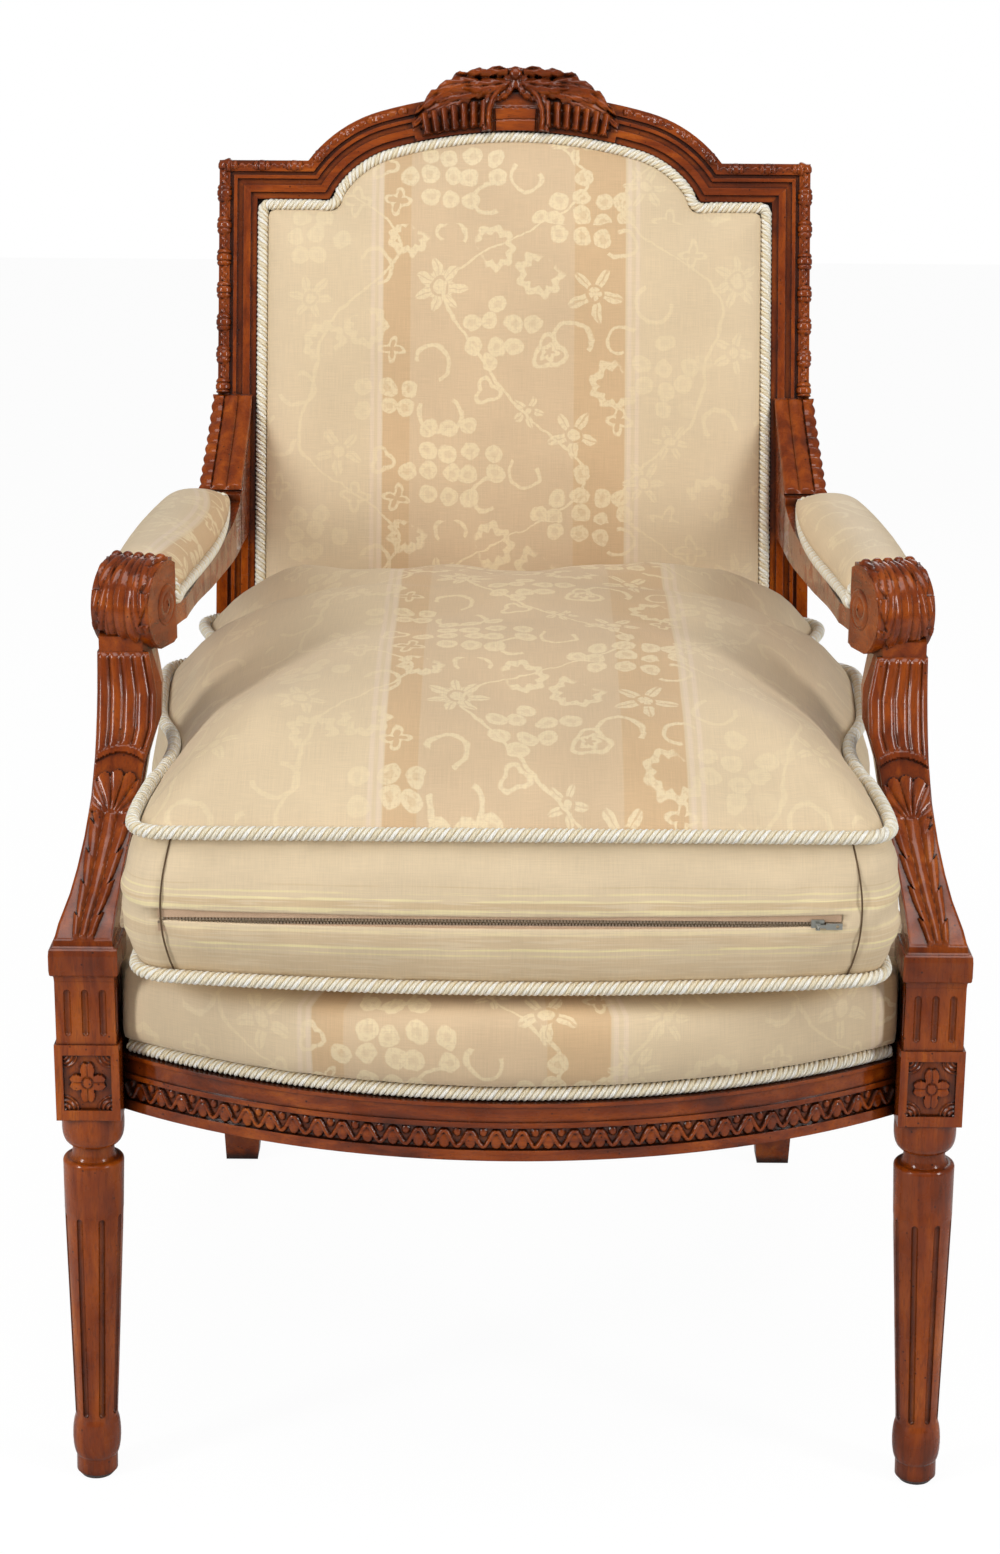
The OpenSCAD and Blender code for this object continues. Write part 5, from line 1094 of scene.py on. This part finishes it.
def crestCarving():
    half, inner = crestSet["half"], archR - chair["faceW"]

    def place(u, v, front):
        a = abs(u)
        top = lookUp(crestSet["top"], a)
        d = mix(-0.2, top, v)
        rho = inner + d
        x, slope = onArc(0, archC, rho, u / (archR + 8))
        if not front:
            return onBack(x, mix(1.5, crestSet["back"], smoothStep(archR - 1, archR + 1.5, rho)), slope)
        h = crestRise(u, d)
        if d > chair["faceW"] - 4 or a > half - 4:
            rim = min(top - d, (half - a) * 1.5)
            h = mix(min(h, -3.5 if d > chair["faceW"] else 0.2), h, smoothStep(-0.5, 3.2, rim))
        return onBack(x, -h, slope)

    carving = carved("crestCarving", (-half, 0), (half, 1), (220, 66), place, walnutAcross)
    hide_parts("crest_carving")


# the carved band on the frame's outer edge: barrels bound with ribbon, and leaves with berries over the arch
bandSet = {"low": 313, "inset": 4.6, "depth": 2.6, "pitch": 28.6, "radius": 5.9, "ribbon": 3.1, "step": 0.9,
           "barrel": 0.52, "leaf": 0.66}


def bandRise(s, angle, onTop):
    b = bandSet
    t = (s / b["pitch"]) % 1
    if onTop and t < b["leaf"]:
        q = t / b["leaf"]
        wide = math.sin(math.pi * min(1, q * 0.94 + 0.06) ** 0.7)
        lift = 1.2 * math.cos(2 * math.pi * (q * 3 - abs(angle - 1.2) * 0.55)) * wide
        return b["ribbon"] + 2.2 * wide + lift * 0.6
    if onTop:  # berry
        q = (t - b["leaf"]) / (1 - b["leaf"])
        return b["ribbon"] + 2.4 * math.sqrt(max(0, 1 - (2 * q - 1) ** 2)) - 0.6
    if t < b["barrel"]:
        q = (t / b["barrel"] - 0.5) * 2
        grooves = sum(1.3 * math.exp(-((q - groove) / 0.09) ** 2) for groove in (-0.42, 0.42))
        return b["radius"] * (1 - 0.3 * abs(q) ** 4) + 0.9 - grooves
    q = (t - b["barrel"]) / (1 - b["barrel"])
    crossed = max(abs(math.sin(2 * math.pi * (q + way * angle / 4.2))) for way in (-1, 1))
    return b["ribbon"] + 1.9 * crossed ** 1.5 - 0.6


def frameBand():
    b = bandSet
    end = 4 - crestSet["half"]  # where the crest's carving covers it
    line = [p for p in frameLine(b["inset"], b["low"]) if p.x < end]
    line.append(Vector((end, archC + math.sqrt((archR - b["inset"]) ** 2 - end ** 2), 0)))
    pts = evenly(line, b["step"])
    n = len(pts)
    length = (n - 1) * b["step"]
    shoulder = (chair["backH"] - b["low"]) / length
    kink = shoulder + (postX - flankX - 90) / length
    for side, name in bothSides:
        def place(u, v, front):
            k = min(n - 1, max(0, round(u * (n - 1))))
            tangent = (pts[min(n - 1, k + 2)] - pts[max(0, k - 2)]).normalized()
            angle = mix(-0.75, 3.2, v)
            r = 1.6
            if front:
                r = bandRise(u * length, angle, u > kink) * (0.8 if u > shoulder else 1)
                r = mix(1.8, r, min(1, min(u, 1 - u) * length / 2.5))
            across, proud = -r * math.cos(angle), r * math.sin(angle)
            x, up = pts[k].x - tangent.y * across, pts[k].y + tangent.x * across
            return onBack(-side * x, b["depth"] - proud, up)

        carved("frameBand" + name, (0, 0), (1, 1), (n - 1, 16), place, walnutUp)


# scroll of the arm: an acanthus leaf over its nose, beads behind it and volutes on its ends
def scrollPoint(side, x, angle, radius):
    turn = math.radians(armSet["scrollTurn"])
    y, z = -radius * math.cos(angle), radius * math.sin(angle)
    return spot(side * (armSet["scrollX"] + x * math.cos(turn) - y * math.sin(turn)),
                armSet["scrollY"] + x * math.sin(turn) + y * math.cos(turn), armSet["scrollZ"] + z)


def scrollRise(u, share):  # u from -1 to 1 across, share from the top behind to the foot of the nose
    a = abs(u)
    fan = a * (5.2 - 2.6 * smoothStep(0.0, 0.5, share)) if a < 0.42 else a * 4 + (0.45 - share) * 2.4
    rib = abs(math.cos(math.pi * fan)) ** 0.7
    h = 0.8 + 1.5 * rib
    tip = (share * 4.1 + 0.1) % 1
    edge = 0.98 - 0.3 * tip ** 1.5 if share < 0.78 else 0.62 - 0.25 * smoothStep(0.78, 0.95, share)
    if a > edge:
        h = 0.45
    elif a > 0.42:
        h += 0.7
    centre = math.exp(-(u / 0.05) ** 2)
    return h + 0.5 * centre


def armScrolls():
    half, radius = armSet["scrollW"] / 2, armSet["scrollR"]
    for side, name in bothSides:
        def leaf(u, v, front):
            h = scrollRise(u, v) - 1.2 * smoothStep(0.93, 1, abs(u)) if front else -2
            return scrollPoint(side, u * half, math.radians(mix(100, -62, v)), radius + h)

        def beads(u, v, front):
            q = (u * 2.5 + 2.5) % 1 * 2 - 1
            h = 4.2 * math.sqrt(max(0, 1 - q * q - v * v * 1.1)) + 0.6 if front else -1.5
            return scrollPoint(side, u * (half - 1), math.radians(95 + 8 * v), radius + h)

        carved("scrollLeaf" + name, (-1, 0), (1, 1), (84, 92), leaf, walnutDeep)
        carved("scrollBeads" + name, (-0.999, -1), (0.999, 1), (70, 14), beads, walnutDeep)
        for end, where in ((-1, "In"), (1, "Out")):
            def volute(u, v, front):
                spiral = 0.2 + 0.7 * abs(math.sin(math.pi * ((v * 2.1 - u) % 1))) ** 0.5
                h = spiral if v > 0.2 else 1.6 - 3 * v
                if v > 0.96:
                    h = 0.2
                proud = half + (h if front else -1.5)
                return scrollPoint(side, end * proud, 2 * math.pi * u, mix(1, 15.5, v))

            carved("scrollEnd" + name + where, (0, 0), (1, 1), (72, 26), volute, walnutDeep, ring=True)


# front faces of the arm supports: flutes over an arch, and a leaf with a fan of lobes below it
supportSet = {
    "y": (-21, 17.85, 88.9, 90.9), "z": (438, 473.3, 534.7, 624), "arch": 548, "fan": 512, "top": 543,
    "outer": [  # share of the height, x of the left support's edge
        (0, -328), (0.05, -325.9), (0.14, -319.6), (0.22, -315.8), (0.32, -312.3), (0.45, -309.1),
        (0.6, -307.4), (0.8, -306.6), (1, -306)],
    "inner": [
        (0, -286), (0.1, -284.7), (0.22, -281.8), (0.36, -277.2), (0.48, -273.4), (0.56, -271.3),
        (0.62, -268.2), (0.7, -263.3), (0.83, -262.5), (1, -268.1)],
    "leafHalf": [(438, 8), (455, 11), (480, 13), (505, 15), (520, 16), (535, 12), (543, 3)],
}


def supportRise(w, z, half):  # w across from the face's middle line, in mm
    s = supportSet
    arch = s["arch"] + 7 * (1 - (w / half) ** 2)
    if z > arch + 1.5:
        reed = (w / half * 0.5 + 0.5) * 4.5
        wave = abs(math.sin(math.pi * reed)) ** 0.7
        h = 0.4 + 2.4 * wave
        return h * smoothStep(arch + 1, arch + 4, z) + 2.2 * (1 - smoothStep(arch + 1, arch + 4, z))
    if z > arch - 3.5:
        return 2.9
    wide = lookUp(s["leafHalf"], z)
    if z > s["fan"]:
        angle = math.atan2(w, z - s["fan"] + 4)
        r = math.hypot(w, z - s["fan"] + 4)
        lobe = abs(math.cos(angle * 9)) ** 0.5
        if r < 27 + 5 * lobe and abs(angle) < 1.25:
            return 2.0 + 2.0 * lobe * smoothStep(3, 12, r)
        return 0.4
    saw = ((s["fan"] - z + abs(w) * 0.9) / 17) % 1
    edge = wide * (0.66 + 0.34 * math.sqrt(max(0, 1 - saw ** 2)))
    if abs(w) > edge:
        return 0.4
    curl = 1.1 * smoothStep(0.45, 0.9, abs(w) / edge) * (1 - saw)
    rib = abs(math.cos(math.pi * (abs(w) / wide * 1.5 + 0.04 * (saw - 0.5)))) ** 0.8
    return 1.4 + 1.8 * rib + curl


def onSweep(ys, zs, t):  # a point of a swept timber's front face, and the face's normal
    y, z = bezier(*ys, t), bezier(*zs, t)
    dy, dz = (bezier(*line, min(1, t + 0.01)) - bezier(*line, max(0, t - 0.01)) for line in (ys, zs))
    size = math.hypot(dy, dz)
    return y, z, -dz / size, dy / size


def supportFaces():
    s = supportSet
    for side, name in bothSides:
        def place(u, v, front):
            y, z, ny, nz = onSweep(s["y"], s["z"], v)
            rise = (z - s["z"][0]) / (s["z"][3] - s["z"][0])
            outer, inner = lookUp(s["outer"], rise), lookUp(s["inner"], rise)
            half = (inner - outer) / 2
            h = -2
            if front:
                h = mix(0.1, supportRise(u * half, z, half), smoothStep(0, 0.09, 1 - abs(u)))
                h *= smoothStep(0, 0.02, v) * (1 - smoothStep(0.985, 1, v))
            return spot(-side * (outer + inner) / 2 + u * half * 0.995, y + ny * h, z + nz * h)

        carved("supportFace" + name, (-1, 0), (1, 1), (80, 230), place, walnutUp)


# dies of the front posts: a four-petalled flower with leaves in the corners
dieSet = {"z": 329, "low": (-17.4, -21.4), "high": (17.4, 21.4)}


def dieRise(x, z):
    r = math.hypot(x, z * 0.84)
    angle = math.atan2(x, z * 0.84)
    quarter = (angle / (math.pi / 2) + 0.5) % 1 - 0.5
    notch = 1 - 0.14 * math.exp(-(quarter / 0.09) ** 2)
    edge = 14.2 * (0.42 + 0.58 * math.cos(quarter * math.pi) ** 0.9) * notch
    h = 0.3
    corner = math.hypot(17.3 - abs(x), 21.3 - abs(z))
    if corner < 10.5:
        h = 2.2 + 0.7 * math.cos(corner * 1.9) - 0.12 * corner
    if 3.4 < r < edge:
        h = 3.2 - 0.7 * math.exp(-(quarter / 0.035) ** 2) - 0.10 * abs(r - 8)
    if r < 4.2:
        h = 2.4 if r > 3.3 else 3.9
    return h


def dieFlowers():
    for side, name in bothSides:
        def ahead(u, v, front):
            return spot(side * chair["legX"] + u, -20 - (dieRise(u, v) if front else -1), dieSet["z"] + v)

        def beside(u, v, front):
            return spot(side * (chair["legX"] + 20 + (dieRise(u, v) if front else -1)), u, dieSet["z"] + v)

        for place, way in ((ahead, "Front"), (beside, "Side")):
            carved("die" + way + name, dieSet["low"], dieSet["high"], (62, 76), place, walnutUp)


# band of the front seat rail: small leaves under a running wave
railSet = {"pitch": 18.5, "wave": 5.6, "z": 316, "half": 8.4, "sunk": 3}


def railRise(s, v):
    q = (s / railSet["pitch"]) % 1 * 2 - 1
    h = 0.3
    petal = (q / 0.46) ** 2 + ((v + 2.2) / 5.8) ** 2
    if petal < 1:
        h = 1.4 + 1.4 * math.sqrt(1 - petal)
    small = ((abs(q) - 1) / 0.3) ** 2 + ((v - 4.6) / 3.4) ** 2
    if small < 1:
        h = max(h, 1.2 + 1.2 * math.sqrt(1 - small))
    wave = railSet["wave"] * math.cos(math.pi * q) - 0.2
    slope = railSet["wave"] * math.pi / railSet["pitch"] * 2 * math.sin(math.pi * q)
    off = abs(v - wave) / math.sqrt(1 + slope * slope)
    if off < 1.5:
        h = max(h, 2.2 + 1.2 * math.sqrt(1 - (off / 1.5) ** 2))
    return h


def railBands():
    half = railSet["half"]
    reach = math.asin((blockIn - 0.5) / bowR) * bowR

    def ahead(u, v, front):
        r = bowR - railSet["sunk"] + (railRise(u, v) if front else -1)
        return spot(*onBow(r, u / bowR), railSet["z"] + v)

    carved("railBandFront", (-reach, -half), (reach, half), (760, 24), ahead, walnutAcross)


# wings: reeds on the front face and a scalloped outer edge
wingSet = {
    "y": (487, 516, 549.6, 575), "z": (670, 692.5, 710, 738.6), "outer": (269.5, 264), "inner": (234, 230.5),
    "reeds": 0.74, "edge": 0.76, "scallops": 9,
}


def wingFaces():
    w = wingSet
    for side, name in bothSides:
        def place(u, v, front):
            y, z, ny, nz = onSweep(w["y"], w["z"], v)
            x = mix(mix(*w["inner"], v) + 0.3, mix(*w["outer"], v), u)
            h = -1.5
            if front:
                h = 0.7 + 2.4 * abs(math.sin(math.pi * min(0.999, u / w["reeds"]) * 2)) ** 0.7
                if u > w["edge"]:
                    scallop = abs(math.sin(math.pi * (v * w["scallops"] + 0.5)))
                    q = (u - w["edge"]) / (1 - w["edge"])
                    h = (1 + 1.6 * scallop ** 0.5) * (1 - q ** 3) + 0.2
                    x += 1.8 * q * scallop
                h *= smoothStep(0, 0.02, u) * smoothStep(0, 0.03, v) * (1 - smoothStep(0.97, 1, v))
            return spot(side * x, y + ny * h, z + nz * h)

        carved("wingFace" + name, (0, 0), (1, 1), (46, 110), place, walnutUp)


# studio
studioSet = {
    "floor": 16, "floorTone": (0.6, 0.6, 0.6, 1), "glow": 1.06, "glowShare": 0.9, "sky": 0.26, "backdrop": 1.0,
    "lamps": [  # name, place, aim, width, height, watts
        ("leftSoft", (-2.5, -1.9, 1.5), (0, 0, 0.5), 0.5, 1.9, 48),
        ("rightSoft", (2.5, -1.8, 1.5), (0, 0, 0.5), 0.5, 1.9, 40),
        ("topSoft", (0.0, -1.1, 3.0), (0, 0, 0.4), 2.0, 1.4, 28),
        ("rimSoft", (0.4, 2.6, 2.2), (0, 0, 0.7), 1.6, 1.2, 14)],
    "camera": (-5.0, -1987.7, 1141.7), "lens": 67.34, "sensor": 36, "tilt": 16.4, "turn": 0.1, "roll": 0.4,
}


def seenDirectly(tree):  # 1 for what the camera sees, also through glass
    path = tree.nodes.new("ShaderNodeLightPath")
    return Value(tree, path.outputs["Is Camera Ray"]).most(Value(tree, path.outputs["Is Transmission Ray"]))


def white(tree, kind, strength):
    node = tree.nodes.new(kind)
    node.inputs["Color"].default_value = (1, 1, 1, 1)
    node.inputs["Strength"].default_value = strength
    return node.outputs[0]


def blended(tree, share, a, b, end):
    blend = tree.nodes.new("ShaderNodeMixShader")
    for source, slot in zip((share.socket, a, b), blend.inputs):
        tree.links.new(source, slot)
    tree.links.new(blend.outputs[0], end.inputs["Surface"])


def stageSet():
    s = studioSet
    bpy.ops.object.select_all(action="DESELECT")
    bpy.ops.mesh.primitive_plane_add(size=s["floor"], location=(0, 0, 0))
    floor = bpy.context.object
    floor.name = "floor"
    look = Finish("floorPale", Base_Color=s["floorTone"], Roughness=0.9)
    blended(look.tree, seenDirectly(look.tree) * s["glowShare"], look.shader.outputs[0],
            white(look.tree, "ShaderNodeEmission", s["glow"]), look.tree.nodes["Material Output"])
    floor.data.materials.append(look.material)

    world = bpy.context.scene.world or bpy.data.worlds.new("studio")
    bpy.context.scene.world = world
    world.use_nodes = True
    tree = world.node_tree
    tree.nodes.clear()
    blended(tree, seenDirectly(tree), white(tree, "ShaderNodeBackground", s["sky"]),
            white(tree, "ShaderNodeBackground", s["backdrop"]), tree.nodes.new("ShaderNodeOutputWorld"))


def lightsOn():
    for name, place, aim, wide, tall, watts in studioSet["lamps"]:
        lamp = bpy.data.lights.new(name, "AREA")
        lamp.shape = "RECTANGLE"
        lamp.size, lamp.size_y, lamp.energy = wide, tall, watts
        obj = bpy.data.objects.new(name, lamp)
        obj.location = place
        obj.rotation_euler = (Vector(aim) - Vector(place)).to_track_quat("-Z", "Y").to_euler()
        bpy.context.collection.objects.link(obj)


def cameraUp():
    s = studioSet
    data = bpy.data.cameras.new("camera")
    data.lens, data.sensor_width = s["lens"], s["sensor"]
    camera = bpy.data.objects.new("camera", data)
    turn = Euler((math.radians(90 - s["tilt"]), 0, math.radians(s["turn"]))).to_matrix()
    turn = turn @ Matrix.Rotation(math.radians(s["roll"]), 3, "Z")
    camera.matrix_world = Matrix.Translation(spot(*s["camera"])) @ turn.to_4x4()
    bpy.context.collection.objects.link(camera)
    bpy.context.scene.camera = camera


# hidden and small finishes
def smallFinish(name, base, rough, grainSize, deep, metallic=0.0, stretch=(1, 1, 1), weave=0.0):
    finish = Finish(name, Metallic=metallic)
    vector = finish.place()
    fine = finish.clouds(vector, grainSize, 3.0, stretch, "3D")
    broad = finish.clouds(vector, grainSize * 0.07, 2.0, dims="3D")
    height = fine
    if weave:
        x, y, z = finish.split(vector)
        height = fine + (x * weave).sin() * (y * weave).sin() * (z * weave).cos() * 0.4
    tone = (height - 0.5) * deep + (broad - 0.5) * deep + 1.0
    finish.feed(Base_Color=finish.shaded(base, tone), Roughness=rough + (fine - 0.5) * 0.2,
                Normal=finish.bump(height, 0.3, 0.0003))
    return finish.material


darkSeamLine = smallFinish("darkSeamLine", (92, 70, 44), 0.8, 1.2, 0.5)
chainMaterial = smallFinish("chainMetal", (158, 138, 116), 0.42, 0.8, 0.3, metallic=0.4)
steelMaterial = smallFinish("zipSteel", (176, 176, 168), 0.32, 0.7, 0.2, metallic=0.9, stretch=(0.2, 1, 1))
beechMaterial = smallFinish("beech", (198, 156, 108), 0.6, 0.5, 0.35, stretch=(1, 1, 0.08))
tapeMaterial = smallFinish("zipTape", (200, 168, 138), 0.8, 1.5, 0.3, weave=4.0)
caseMaterial = smallFinish("featherCase", (232, 226, 210), 0.85, 0.6, 0.12, weave=3.0)
juteMaterial = smallFinish("jute", (160, 130, 86), 0.9, 0.5, 0.5, weave=1.6)
hairMaterial = smallFinish("hair", (78, 60, 42), 0.9, 0.35, 0.9, stretch=(1, 0.3, 1))
blackMaterial = smallFinish("blackCloth", (34, 32, 30), 0.9, 0.9, 0.4, weave=2.4)

grain = {
    walnutUp: ["front_leg_left", "front_leg_right", "post_cap_left", "post_cap_right", "back_post_left",
               "back_post_right", "arm_support_left", "arm_support_right"],
    walnutAcross: ["crest_rail", "crest_carving", "back_bottom_rail", "front_rail", "rear_rail"],
    walnutDeep: ["side_rail_left", "side_rail_right", "arm_left", "arm_right"],
    beechMaterial: ["front_corner_blocks", "rear_corner_blocks", "seat_dowels", "back_dowels", "arm_dowels"],
    steelMaterial: ["block_screws", "zip_slider", "zip_pull"],
    tapeMaterial: ["zip_tape"],
    caseMaterial: ["cushion_filling"],
    hairMaterial: ["seat_stuffing", "back_stuffing"],
    juteMaterial: ["seat_webbing", "seat_hessian", "back_webbing"],
    blackMaterial: ["bottom_cloth"],
}
for material, names in grain.items():
    for name in names:
        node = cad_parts[name]
        node.data.materials.clear()
        node.data.materials.append(material)

for make in (cameraUp, stageSet, lightsOn):
    make()
for make in (backPanel, backCords, outsideBack, cushionCover, cushionCords, seamLines,
             seatCover, seatCords, armPads, zipChain):
    make()
print("upholstery made")
for make in (crestCarving, frameBand, armScrolls, supportFaces, dieFlowers, railBands, wingFaces):
    make()
print("carving made")
